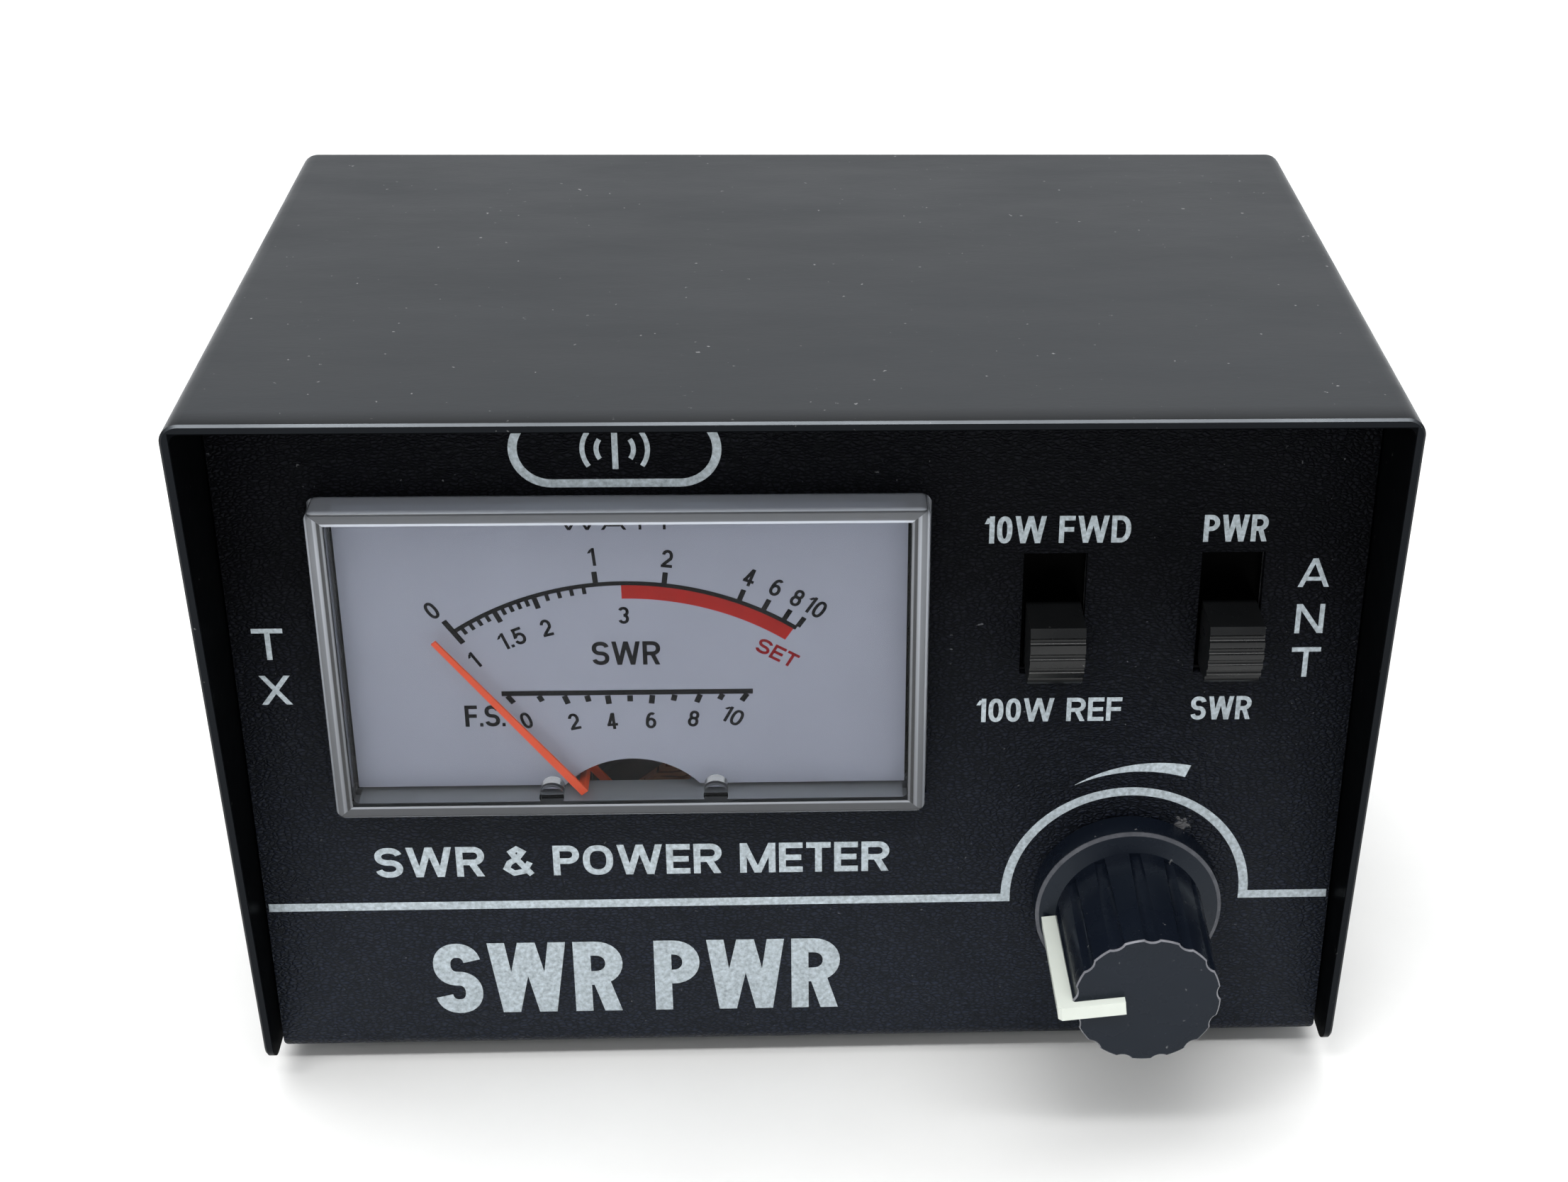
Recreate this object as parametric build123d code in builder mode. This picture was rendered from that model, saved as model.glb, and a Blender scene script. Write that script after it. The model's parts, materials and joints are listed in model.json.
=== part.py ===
from build123d import *
from math import asin, cos, degrees, radians, sin
import os

os.makedirs("parts", exist_ok=True)

# SWR and power meter: a small bench instrument in a bent sheet-metal case.
# Millimetres, +Z up, the front panel faces -Y. The origin is the middle of the footprint
# on the table, below the centre of the overall length.

# ---------------------------------------------------------------- driving dimensions
sheet = 1.0  # steel sheet of cover and chassis
cover_width = 120.0
cover_length = 79.5
cover_height = 81.7
cover_bend = 2.0  # outside radius of the cover's two bends
cover_slant = 7.85  # how far the side flanges' front edges lean back over their height
cover_lift = 1.0  # lower edge of the cover above the underside of the chassis
chassis_length = 65.5  # outside of front panel to outside of rear panel
chassis_gap = 0.3  # between the chassis edges and the cover
chassis_bend = 1.5
side_tab_height = 12.0
visor_depth = 11.5  # front panel set back behind the cover's top front edge
foot_height = 2.5
foot_radius = 5.0
knob_reach = 20.4  # front panel to the outermost face of the knob
socket_reach = 14.1  # rear panel to the end of the coaxial sockets

meter_x = -18.1
meter_z = 53.65
meter_width = 62.4
meter_height = 36.3
meter_proud = 3.0
window_thickness = 1.2
meter_side_wall = 1.8
meter_end_wall = 1.5
meter_flange_margin = 1.8
pivot_z = 31.2  # needle pivot, below the window
needle_length = 31.7
needle_rest = 38.4  # degrees to the left of upright
movement_depth = 27.0  # front panel to the back of the meter's body

switch_slot_width = 6.6
switch_slot_height = 14.3
switch_slot_z = 57.95
slider_width = 5.7
slider_height = 7.2
slider_travel = 4.7
slider_proud = 6.0
dome_radius = 6.0  # of the sliders' rounded tips
dome_rise = 0.8
switches = (("range_switch", 26.25, 4), ("function_switch", 44.7, 5))  # name, x, grip ridges

knob_x = 35.7
knob_z = 22.6
knob_flutes = 13
knob_height = 19.5
skirt_radius = 10.25
pointer_angle = 186.0  # degrees, anticlockwise from +X as seen from the front

socket_x = 33.0
socket_z = 46.0
socket_hole_spacing = 18.2
sockets = (("tx_socket", -socket_x), ("antenna_socket", socket_x))

# ---------------------------------------------------------------- derived places
overall_length = knob_reach + chassis_length + socket_reach
panel_y = -overall_length / 2 + knob_reach
rear_y = panel_y + chassis_length
cover_front = panel_y - visor_depth
cover_half = cover_width / 2
cover_bottom = foot_height + cover_lift
cover_top = cover_bottom + cover_height
chassis_half = cover_half - sheet - chassis_gap
chassis_top = cover_top - sheet - chassis_gap

# Local Z of "face" points out of the front panel, local Y is up; "back" is the same on the rear.
face = Plane(origin=(0, panel_y, 0), x_dir=(1, 0, 0), z_dir=(0, -1, 0))
back = Plane(origin=(0, rear_y, 0), x_dir=(-1, 0, 0), z_dir=(0, 1, 0))

screw_radius = 1.4
screw_hole = 1.6
screw_head_radius = 2.75
screw_head_height = 1.8
nut_height = 2.4
nut_flats = 5.5


def pan_screw(shank_length):
    """One pan-head screw: head on +Z, shank on -Z, the origin under the head."""
    with BuildPart() as screw:
        with BuildSketch():
            Circle(screw_head_radius)
        extrude(amount=screw_head_height)
        fillet(screw.edges().group_by(Axis.Z)[-1], radius=1.0)
        with BuildSketch():
            Circle(screw_radius)
        extrude(amount=-shank_length)
        with BuildSketch(Plane.XY.offset(screw_head_height)):
            Rectangle(3.0, 0.7)
            Rectangle(0.7, 3.0)
        extrude(amount=-1.1, mode=Mode.SUBTRACT)
    return screw.part


def hex_nut(flats, height, bore):
    """One hexagon nut standing on the XY plane."""
    with BuildPart() as nut:
        with BuildSketch():
            RegularPolygon(radius=flats / 2, side_count=6, major_radius=False)
            Circle(bore, mode=Mode.SUBTRACT)
        extrude(amount=height)
    return nut.part


def axial_part(body_radius, body_length, lead_span, standing):
    """A wire-ended part lying along X above the XY plane, its two leads bent down to it."""
    with BuildPart() as component:
        with BuildSketch(Plane.YZ):
            with Locations((0, standing)):
                Circle(body_radius)
        extrude(amount=body_length / 2, both=True)
        with BuildSketch(Plane.YZ):
            with Locations((0, standing)):
                Circle(0.3)
        extrude(amount=lead_span / 2, both=True)
        with BuildSketch():
            with Locations((-lead_span / 2, 0), (lead_span / 2, 0)):
                Circle(0.3)
        extrude(amount=standing + 0.3)
    return component.part


# ---------------------------------------------------------------- case
screw_height = 10.5
cover_screw_ys = (panel_y + 14.0, rear_y - 14.0)

with BuildPart() as top_cover:
    with BuildSketch(Plane.XZ.offset(-cover_front)):
        with BuildLine():
            FilletPolyline(
                (-cover_half, cover_bottom),
                (-cover_half, cover_top),
                (cover_half, cover_top),
                (cover_half, cover_bottom),
                radius=cover_bend,
            )
            offset(amount=sheet, side=Side.RIGHT)
        make_face()
    extrude(amount=-cover_length)
    # the front edges lean back towards the bottom
    with BuildSketch(Plane.YZ):
        Polygon(
            (cover_front - 2, cover_top),
            (cover_front, cover_top),
            (cover_front + cover_slant, cover_bottom),
            (cover_front - 2, cover_bottom),
            align=None,
        )
    extrude(amount=cover_half + 1, both=True, mode=Mode.SUBTRACT)
    fillet(top_cover.edges().filter_by(Axis.X).group_by(Axis.Z)[0], radius=2.5)
    front_edge = top_cover.edges().filter_by(Axis.X).group_by(Axis.Y)[0]
    chamfer(front_edge.group_by(Axis.Z)[-1], length=0.25)
    with BuildSketch(Plane.YZ):
        with Locations(*[(y, screw_height) for y in cover_screw_ys]):
            Circle(screw_hole)
    extrude(amount=cover_half + 1, both=True, mode=Mode.SUBTRACT)
top_cover.part.label = "top_cover"
export_step(top_cover.part, "parts/top_cover.step")

# one bent piece: front panel, base, rear panel and a low tab along each side
with BuildPart() as chassis:
    with BuildSketch(Plane.YZ):
        with BuildLine():
            FilletPolyline(
                (panel_y, chassis_top),
                (panel_y, foot_height),
                (rear_y, foot_height),
                (rear_y, chassis_top),
                radius=chassis_bend,
            )
            offset(amount=sheet, side=Side.LEFT)
        make_face()
    extrude(amount=chassis_half, both=True)
    tab_length = chassis_length - 16
    for side in (-1, 1):
        with Locations((side * (chassis_half - sheet / 2), (panel_y + rear_y) / 2, foot_height)):
            Box(sheet, tab_length, side_tab_height, align=(Align.CENTER, Align.CENTER, Align.MIN))
    with BuildSketch(Plane.XZ):
        with Locations((0, (foot_height + chassis_top + 10) / 2)):
            RectangleRounded(2 * chassis_half, chassis_top + 10 - foot_height, 1.3)
    extrude(amount=200, both=True, mode=Mode.INTERSECT)
    with BuildSketch(Plane.YZ):
        with Locations(*[(y, screw_height) for y in cover_screw_ys]):
            Circle(screw_radius + 0.03)
    extrude(amount=cover_half, both=True, mode=Mode.SUBTRACT)
    with BuildSketch(face):
        with Locations((meter_x, meter_z)):
            RectangleRounded(meter_width + 0.6, meter_height + 0.6, 1.3)
        for name, x, ridges in switches:
            with Locations((x, switch_slot_z)):
                Rectangle(switch_slot_width, switch_slot_height)
        with Locations((knob_x, knob_z)):
            Circle(3.7)
    extrude(amount=-2 * sheet, mode=Mode.SUBTRACT)
    with BuildSketch(back):
        with Locations((-socket_x, socket_z), (socket_x, socket_z)):
            Circle(8.0)
            with GridLocations(socket_hole_spacing, socket_hole_spacing, 2, 2):
                Circle(screw_hole)
        with Locations((0, socket_z - 8), (0, socket_z + 8)):
            Circle(screw_hole)
    extrude(amount=-2 * sheet, mode=Mode.SUBTRACT)
chassis.part.label = "chassis"
export_step(chassis.part, "parts/chassis.step")

side_screw = pan_screw(5.0)
with BuildPart() as cover_screws:
    for y in cover_screw_ys:
        right = Plane(origin=(cover_half, y, screw_height), x_dir=(0, 1, 0), z_dir=(1, 0, 0))
        left = Plane(origin=(-cover_half, y, screw_height), x_dir=(0, -1, 0), z_dir=(-1, 0, 0))
        add(right * side_screw)
        add(left * side_screw)
cover_screws.part.label = "cover_screws"
export_step(cover_screws.part, "parts/cover_screws.step")

with BuildPart() as feet:
    with BuildSketch():
        with GridLocations(98, 38, 2, 2):
            Circle(foot_radius)
    extrude(amount=foot_height)
    chamfer(feet.edges().group_by(Axis.Z)[0], length=0.6)
feet.part.label = "feet"
export_step(feet.part, "parts/feet.step")

# ---------------------------------------------------------------- meter housing
cavity_width = meter_width - 2 * meter_side_wall
cavity_height = meter_height - 2 * meter_end_wall
flange_width = meter_width + 2 * meter_flange_margin
flange_top = meter_z + meter_height / 2 + meter_flange_margin
body_bottom = 17.5
body_wall = 1.5
flange_back = sheet + 1.2
dial_depth = 0.5
dial_thickness = 0.3
dial_bottom = 37.6
dial_top = meter_z + cavity_height / 2 - 0.3

with BuildPart() as meter_cover:
    with BuildSketch(face.offset(meter_proud)):
        with Locations((meter_x, meter_z)):
            RectangleRounded(meter_width, meter_height, 1.0)
    extrude(amount=-meter_proud - sheet)
    fillet(meter_cover.faces().sort_by(Axis.Y)[0].edges(), radius=0.5)
    with BuildSketch(face.offset(-sheet)):
        with Locations((meter_x, meter_z)):
            Rectangle(flange_width, flange_width - meter_width + meter_height)
    extrude(amount=sheet - flange_back)
    with BuildSketch(face.offset(meter_proud - window_thickness)):
        with Locations((meter_x, meter_z)):
            RectangleRounded(cavity_width, cavity_height, 0.8)
    extrude(amount=-20, mode=Mode.SUBTRACT)
    # the two moulded pegs are the needle's stops
    with BuildSketch(face.offset(meter_proud - window_thickness)):
        with Locations((meter_x - 8.5, pivot_z + 6.3), (meter_x + 8.9, pivot_z + 6.3)):
            Circle(1.3)
    extrude(amount=-meter_proud + window_thickness - 0.3)
meter_cover.part.label = "meter_cover"
export_step(meter_cover.part, "parts/meter_cover.step")

with BuildPart() as meter_body:
    with BuildSketch(face.offset(-flange_back)):
        with Locations((meter_x, (body_bottom + flange_top) / 2)):
            RectangleRounded(flange_width, flange_top - body_bottom, 1.5)
    extrude(amount=flange_back - movement_depth)
    with BuildSketch(face.offset(-flange_back)):
        with Locations((meter_x, (body_bottom + flange_top) / 2)):
            Rectangle(flange_width - 2 * body_wall, flange_top - body_bottom - 2 * body_wall)
    extrude(amount=flange_back - movement_depth + 2.0, mode=Mode.SUBTRACT)
    # four posts carry the dial
    with BuildSketch(face.offset(-movement_depth)):
        with Locations((meter_x, meter_z)):
            with GridLocations(46, 22, 2, 2):
                Circle(2.2)
    extrude(amount=movement_depth - dial_depth - dial_thickness)
    with BuildSketch(face.offset(-movement_depth)):
        with Locations((meter_x - 16, meter_z), (meter_x + 16, meter_z)):
            Circle(2.05)
    extrude(amount=3, mode=Mode.SUBTRACT)
meter_body.part.label = "meter_body"
export_step(meter_body.part, "parts/meter_body.step")

with BuildPart() as dial_plate:
    with BuildSketch(face.offset(-dial_depth)):
        with Locations((meter_x, (dial_bottom + dial_top) / 2)):
            Rectangle(cavity_width - 0.6, dial_top - dial_bottom)
        with Locations((meter_x, pivot_z)):
            Circle(9.6, mode=Mode.SUBTRACT)
    extrude(amount=-dial_thickness)
dial_plate.part.label = "dial_plate"
export_step(dial_plate.part, "parts/dial_plate.step")

with BuildPart() as meter_studs:
    with BuildSketch(face.offset(-movement_depth + 2)):
        with Locations((meter_x - 16, meter_z), (meter_x + 16, meter_z)):
            Circle(4.0)
    extrude(amount=1.5)
    with BuildSketch(face.offset(-movement_depth + 2)):
        with Locations((meter_x - 16, meter_z), (meter_x + 16, meter_z)):
            Circle(2.0)
    extrude(amount=-12)
meter_studs.part.label = "meter_studs"
export_step(meter_studs.part, "parts/meter_studs.step")

with BuildPart() as meter_lugs:
    with BuildSketch(face.offset(-movement_depth)):
        for x in (meter_x - 16, meter_x + 16):
            with Locations((x, meter_z)):
                Circle(4.0)
            with Locations((x, meter_z - 6)):
                Rectangle(3.0, 9.0)
            with Locations((x, meter_z - 9)):
                Circle(0.7, mode=Mode.SUBTRACT)
            with Locations((x, meter_z)):
                Circle(2.05, mode=Mode.SUBTRACT)
    extrude(amount=-0.6)
meter_lugs.part.label = "meter_lugs"
export_step(meter_lugs.part, "parts/meter_lugs.step")

stud_nut = hex_nut(7.0, 3.0, 2.03)
with BuildPart() as meter_nuts:
    for x in (meter_x - 16, meter_x + 16):
        place = Plane(origin=(x, panel_y + movement_depth + 0.6, meter_z), x_dir=(1, 0, 0), z_dir=(0, 1, 0))
        add(place * stud_nut)
meter_nuts.part.label = "meter_nuts"
export_step(meter_nuts.part, "parts/meter_nuts.step")

# ---------------------------------------------------------------- meter movement
# "axle" stands on the needle's axis, local Y upright; "swing" is the same, turned with the
# needle at rest. Depths behind the front panel run along -Z of both.
axle = Plane(origin=(meter_x, panel_y, pivot_z), x_dir=(1, 0, 0), z_dir=(0, -1, 0))
lean = radians(needle_rest)
swing = Plane(
    origin=(meter_x, panel_y, pivot_z),
    x_dir=(cos(lean), 0, sin(lean)),
    z_dir=(0, -1, 0),
)
yoke_front = 8.5
yoke_back = 19.7
yoke_radius = 11.5
yoke_bore = 6.9
core_radius = 4.8
bridge_front = 2.8
bridge_back = 23.4
arm_depth = 4.7  # where the needle's inner arm runs, behind the dial
crank_radius = 8.4  # where the needle steps forward through the dial's cut-out
needle_front = 1.15  # front of the needle, ahead of the front panel

with BuildPart() as yoke_ring:
    with BuildSketch(axle.offset(-yoke_front)):
        Circle(yoke_radius)
        Circle(yoke_bore, mode=Mode.SUBTRACT)
    extrude(amount=yoke_front - yoke_back)
    # two pillars fix the ring to the body
    with BuildSketch(axle.offset(-yoke_back)):
        with Locations((-9.2, 0), (9.2, 0)):
            Circle(1.8)
    extrude(amount=yoke_back - movement_depth + 2.0)
yoke_ring.part.label = "yoke_ring"
export_step(yoke_ring.part, "parts/yoke_ring.step")

with BuildPart() as core_magnet:
    with BuildSketch(axle.offset(-yoke_front - 0.3)):
        Circle(core_radius)
    extrude(amount=yoke_front - yoke_back + 0.6)
    chamfer(core_magnet.edges().filter_by(GeomType.CIRCLE), length=0.4)
core_magnet.part.label = "core_magnet"
export_step(core_magnet.part, "parts/core_magnet.step")

with BuildPart() as core_brackets:
    with BuildSketch(axle.offset(-yoke_front - 2)):
        Rectangle(2.0, 2 * yoke_bore - 0.2)
        Circle(core_radius, mode=Mode.SUBTRACT)
    extrude(amount=yoke_front - yoke_back + 4)
core_brackets.part.label = "core_brackets"
export_step(core_brackets.part, "parts/core_brackets.step")

with BuildPart() as front_bridge:
    with BuildSketch(axle.offset(-bridge_front)):
        SlotOverall(23.0, 4.6)
    extrude(amount=-1.0)
    with BuildSketch(axle.offset(-bridge_front - 1.0)):
        with Locations((-10, 0), (10, 0)):
            Rectangle(2.4, 3.6)
    extrude(amount=bridge_front + 1.0 - yoke_front)
    with BuildSketch(axle.offset(-bridge_front)):
        Circle(1.22)
    extrude(amount=-1.0, mode=Mode.SUBTRACT)
front_bridge.part.label = "front_bridge"
export_step(front_bridge.part, "parts/front_bridge.step")

with BuildPart() as rear_bridge:
    with BuildSketch(axle.offset(-bridge_back)):
        Rectangle(4.6, 24.0)
    extrude(amount=-1.0)
    with BuildSketch(axle.offset(-yoke_back)):
        with Locations((0, -10.2), (0, 10.2)):
            Rectangle(3.6, 2.4)
    extrude(amount=yoke_back - bridge_back)
    with BuildSketch(axle.offset(-bridge_back)):
        Circle(1.22)
    extrude(amount=-1.0, mode=Mode.SUBTRACT)
rear_bridge.part.label = "rear_bridge"
export_step(rear_bridge.part, "parts/rear_bridge.step")

# the jewel screws are hollow at their inner ends, where the pivots run
with BuildPart() as jewel_screws:
    with BuildSketch(axle.offset(-2.3)):
        Circle(1.2)
    extrude(amount=-1.7)
    with BuildSketch(axle.offset(-bridge_back + 0.2)):
        Circle(1.2)
    extrude(amount=-1.6)
    with BuildSketch(axle.offset(-4.0)):
        Circle(0.42)
    extrude(amount=0.9, mode=Mode.SUBTRACT)
    with BuildSketch(axle.offset(-bridge_back + 0.2)):
        Circle(0.42)
    extrude(amount=-0.9, mode=Mode.SUBTRACT)
jewel_screws.part.label = "jewel_screws"
export_step(jewel_screws.part, "parts/jewel_screws.step")

coil_front = 7.0
coil_back = 21.2
coil_thickness = 1.2
coil_half = 6.4

with BuildPart() as moving_coil:
    with BuildSketch(Plane(origin=axle.origin, x_dir=swing.x_dir, z_dir=swing.y_dir)):
        with Locations((0, (coil_front + coil_back) / 2)):
            RectangleRounded(2 * coil_half, coil_back - coil_front, 0.9)
            Rectangle(
                2 * (coil_half - coil_thickness),
                coil_back - coil_front - 2 * coil_thickness,
                mode=Mode.SUBTRACT,
            )
    extrude(amount=1.5, both=True)
moving_coil.part.label = "moving_coil"
export_step(moving_coil.part, "parts/moving_coil.step")

with BuildPart() as pivots:
    with BuildSketch(swing.offset(-coil_front)):
        Circle(1.1)
    extrude(amount=coil_front - arm_depth - 0.3)
    with BuildSketch(swing.offset(-coil_front)):
        Circle(0.36)
    extrude(amount=coil_front - 3.3)
    with BuildSketch(swing.offset(-coil_back)):
        Circle(1.1)
    extrude(amount=-0.6)
    with BuildSketch(swing.offset(-coil_back)):
        Circle(0.36)
    extrude(amount=coil_back - bridge_back - 0.5)
pivots.part.label = "pivots"
export_step(pivots.part, "parts/pivots.step")

with BuildPart() as needle:
    with BuildSketch(swing.offset(-arm_depth)):
        Circle(1.6)
        Rectangle(0.9, crank_radius + 0.3, align=(Align.CENTER, Align.MIN))
        Rectangle(0.9, 5.6, align=(Align.CENTER, Align.MAX))
        Circle(0.36, mode=Mode.SUBTRACT)
    extrude(amount=-0.3)
    with BuildSketch(swing.offset(needle_front)):
        with Locations((0, crank_radius)):
            Rectangle(0.9, 0.6)
    extrude(amount=-needle_front - arm_depth - 0.3)
    with BuildSketch(swing.offset(needle_front)):
        Polygon(
            (-0.45, crank_radius - 0.3),
            (0.45, crank_radius - 0.3),
            (0.28, needle_length),
            (-0.28, needle_length),
            align=None,
        )
    extrude(amount=-0.3)
needle.part.label = "needle"
export_step(needle.part, "parts/needle.step")

with BuildPart() as counterweights:
    with BuildSketch(swing.offset(-arm_depth - 0.3)):
        with Locations((0, -4.8)):
            Circle(0.9)
    extrude(amount=-1.4)
counterweights.part.label = "counterweight"
export_step(counterweights.part, "parts/counterweight.step")


def hairspring(turns, inner, outer):
    """A flat spiral ribbon on the XY plane, from the hub out to its anchor."""
    steps = 12 * turns
    spots = []
    for step in range(steps + 1):
        reach = inner + (outer - inner) * step / steps
        turn = radians(360 * turns * step / steps)
        spots.append((reach * cos(turn), reach * sin(turn)))
    with BuildPart() as spring:
        with BuildLine() as ribbon:
            Spline(*spots)
        with BuildSketch(Plane(origin=ribbon.line @ 0, x_dir=(0, 0, 1), z_dir=ribbon.line % 0)):
            Rectangle(0.3, 0.15)
        sweep()
    return spring.part


spiral = hairspring(3, 1.2, 3.8)
with BuildPart() as front_hairspring:
    add(axle.offset(-4.4) * spiral)
front_hairspring.part.label = "front_hairspring"
export_step(front_hairspring.part, "parts/front_hairspring.step")

with BuildPart() as rear_hairspring:
    add(axle.offset(-coil_back - 1.2) * spiral)
rear_hairspring.part.label = "rear_hairspring"
export_step(rear_hairspring.part, "parts/rear_hairspring.step")

# ---------------------------------------------------------------- slide switches
frame_width = 13.0
frame_length = 29.0
frame_depth = 6.0
frame_sheet = 0.5
block_length = 18.0
pin_rows = 4.0
pin_pitch = 6.4

for name, x, ridges in switches:
    spot = Plane(origin=(x, panel_y + sheet, switch_slot_z), x_dir=(1, 0, 0), z_dir=(0, -1, 0))
    rest = -slider_travel / 2

    with BuildPart() as frame:
        with BuildSketch(spot):
            Rectangle(frame_width, frame_length)
        extrude(amount=-frame_depth)
        with BuildSketch(spot.offset(-frame_sheet)):
            Rectangle(frame_width - 2 * frame_sheet, frame_length - 2 * frame_sheet)
        extrude(amount=frame_sheet - frame_depth, mode=Mode.SUBTRACT)
        with BuildSketch(spot):
            with Locations((0, -frame_length / 2 - 2.5), (0, frame_length / 2 + 2.5)):
                Rectangle(8.0, 6.0)
        extrude(amount=-frame_sheet)
        with BuildSketch(spot):
            Rectangle(switch_slot_width, switch_slot_height)
            with Locations((0, -frame_length / 2 - 3), (0, frame_length / 2 + 3)):
                Circle(1.1)
        extrude(amount=-frame_sheet, mode=Mode.SUBTRACT)
    frame.part.label = name + "_frame"
    export_step(frame.part, "parts/" + name + "_frame.step")

    with BuildPart() as slider:
        with BuildSketch(spot.offset(-frame_sheet - 0.2)):
            with Locations((0, rest)):
                Rectangle(frame_width - 2 * frame_sheet - 0.5, block_length)
        extrude(amount=-2.6)
        with BuildSketch(spot.offset(-frame_sheet - 0.2)):
            with Locations((0, rest)):
                Rectangle(slider_width, slider_height)
        extrude(amount=sheet + frame_sheet + 0.2 + slider_proud)
        # the tip is domed, higher at the top, with finger grooves across it
        dome_z = switch_slot_z + rest + dome_rise
        with BuildSketch(Plane.YZ.offset(x - slider_width / 2 - 1)):
            with Locations((panel_y - slider_proud - 4, dome_z)):
                Rectangle(8 + 2 * dome_radius, 4 * dome_radius)
            with Locations((panel_y - slider_proud + dome_radius, dome_z)):
                Circle(dome_radius, mode=Mode.SUBTRACT)
                Rectangle(
                    2 * dome_radius,
                    4 * dome_radius,
                    align=(Align.MIN, Align.CENTER),
                    mode=Mode.SUBTRACT,
                )
        extrude(amount=slider_width + 2, mode=Mode.SUBTRACT)
        first = degrees(asin((slider_height / 2 - dome_rise - 0.5) / dome_radius))
        last = -degrees(asin((slider_height / 2 + dome_rise - 0.2) / dome_radius))
        for groove in range(ridges):
            turn = radians(first + (last - first) * (groove + 0.5) / ridges)
            spot_y = panel_y - slider_proud + dome_radius - (dome_radius + 0.1) * cos(turn)
            with Locations((x, spot_y, dome_z + (dome_radius + 0.1) * sin(turn))):
                Cylinder(0.42, slider_width + 2, rotation=(0, 90, 0), mode=Mode.SUBTRACT)
    slider.part.label = name + "_slider"
    export_step(slider.part, "parts/" + name + "_slider.step")

    with BuildPart() as contacts:
        with BuildSketch(spot.offset(-frame_sheet - 2.8)):
            with Locations((-2, rest), (2, rest)):
                Rectangle(1.6, 9.0)
        extrude(amount=-0.6)
    contacts.part.label = name + "_contacts"
    export_step(contacts.part, "parts/" + name + "_contacts.step")

pin_level = face.offset(-sheet - frame_depth + 1.5)
with BuildPart() as switch_bases:
    for name, x, ridges in switches:
        with BuildSketch(pin_level):
            with Locations((x, switch_slot_z)):
                Rectangle(frame_width - 2 * frame_sheet, frame_length - 2 * frame_sheet)
                with GridLocations(pin_rows, pin_pitch, 2, 3):
                    Rectangle(1.4, 0.8, mode=Mode.SUBTRACT)
        extrude(amount=-1.5)
switch_bases.part.label = "switch_bases"
export_step(switch_bases.part, "parts/switch_bases.step")

with BuildPart() as switch_pins:
    with BuildSketch(pin_level):
        for name, x, ridges in switches:
            with Locations((x, switch_slot_z)):
                with GridLocations(pin_rows, pin_pitch, 2, 3):
                    Rectangle(1.4, 0.8)
    extrude(amount=-7.0)
switch_pins.part.label = "switch_pins"
export_step(switch_pins.part, "parts/switch_pins.step")

# studs pressed into the back of the front panel hold both switch frames
with BuildPart() as switch_studs:
    with BuildSketch(face.offset(-sheet)):
        for name, x, ridges in switches:
            for z in (-frame_length / 2 - 3, frame_length / 2 + 3):
                with Locations((x, switch_slot_z + z)):
                    Circle(1.0)
    extrude(amount=-5.0)
switch_studs.part.label = "switch_studs"
export_step(switch_studs.part, "parts/switch_studs.step")

small_nut = hex_nut(4.0, 1.6, 1.02)
with BuildPart() as switch_nuts:
    for name, x, ridges in switches:
        for z in (-frame_length / 2 - 3, frame_length / 2 + 3):
            place = Plane(
                origin=(x, panel_y + sheet + frame_sheet, switch_slot_z + z),
                x_dir=(1, 0, 0),
                z_dir=(0, 1, 0),
            )
            add(place * small_nut)
switch_nuts.part.label = "switch_nuts"
export_step(switch_nuts.part, "parts/switch_nuts.step")

# ---------------------------------------------------------------- level control
dial_axis = Plane(origin=(knob_x, panel_y, knob_z), x_dir=(1, 0, 0), z_dir=(0, -1, 0))
shaft_radius = 3.0
bushing_radius = 3.5
pot_radius = 8.2
knob_base = 8.1
knob_tip = 7.75
pointer_turn = radians(pointer_angle)
pointer_plane = Plane(
    origin=dial_axis.origin,
    x_dir=(cos(pointer_turn), 0, sin(pointer_turn)),
    z_dir=(sin(pointer_turn), 0, -cos(pointer_turn)),
)
pointer_thickness = 1.6

with BuildPart() as pot_base:
    with BuildSketch(dial_axis.offset(-sheet)):
        Circle(pot_radius)
        with Locations((0, -pot_radius)):
            Rectangle(13.0, 6.0)
        Circle(bushing_radius + 0.02, mode=Mode.SUBTRACT)
    extrude(amount=-2.5)
pot_base.part.label = "pot_base"
export_step(pot_base.part, "parts/pot_base.step")

with BuildPart() as pot_bushing:
    with BuildSketch(dial_axis.offset(-sheet - 2.5)):
        Circle(4.6)
    extrude(amount=-0.8)
    with BuildSketch(dial_axis.offset(-sheet - 2.5)):
        Circle(bushing_radius)
    extrude(amount=sheet + 2.5 + 4.6)
    with BuildSketch(dial_axis.offset(10)):
        Circle(shaft_radius + 0.06)
    extrude(amount=-30, mode=Mode.SUBTRACT)
pot_bushing.part.label = "pot_bushing"
export_step(pot_bushing.part, "parts/pot_bushing.step")

with BuildPart() as pot_can:
    with BuildSketch(dial_axis.offset(-sheet - 2.5)):
        Circle(pot_radius)
    extrude(amount=-9.0)
    with BuildSketch(dial_axis.offset(-sheet - 2.5)):
        Circle(pot_radius - 0.5)
    extrude(amount=-8.5, mode=Mode.SUBTRACT)
pot_can.part.label = "pot_can"
export_step(pot_can.part, "parts/pot_can.step")

with BuildPart() as pot_track:
    with BuildSketch(dial_axis.offset(-sheet - 2.5)):
        Circle(7.2)
        Circle(5.4, mode=Mode.SUBTRACT)
        Polygon((0, 0), (-6, -12), (6, -12), align=None, mode=Mode.SUBTRACT)
    extrude(amount=-0.2)
pot_track.part.label = "pot_track"
export_step(pot_track.part, "parts/pot_track.step")

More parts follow.
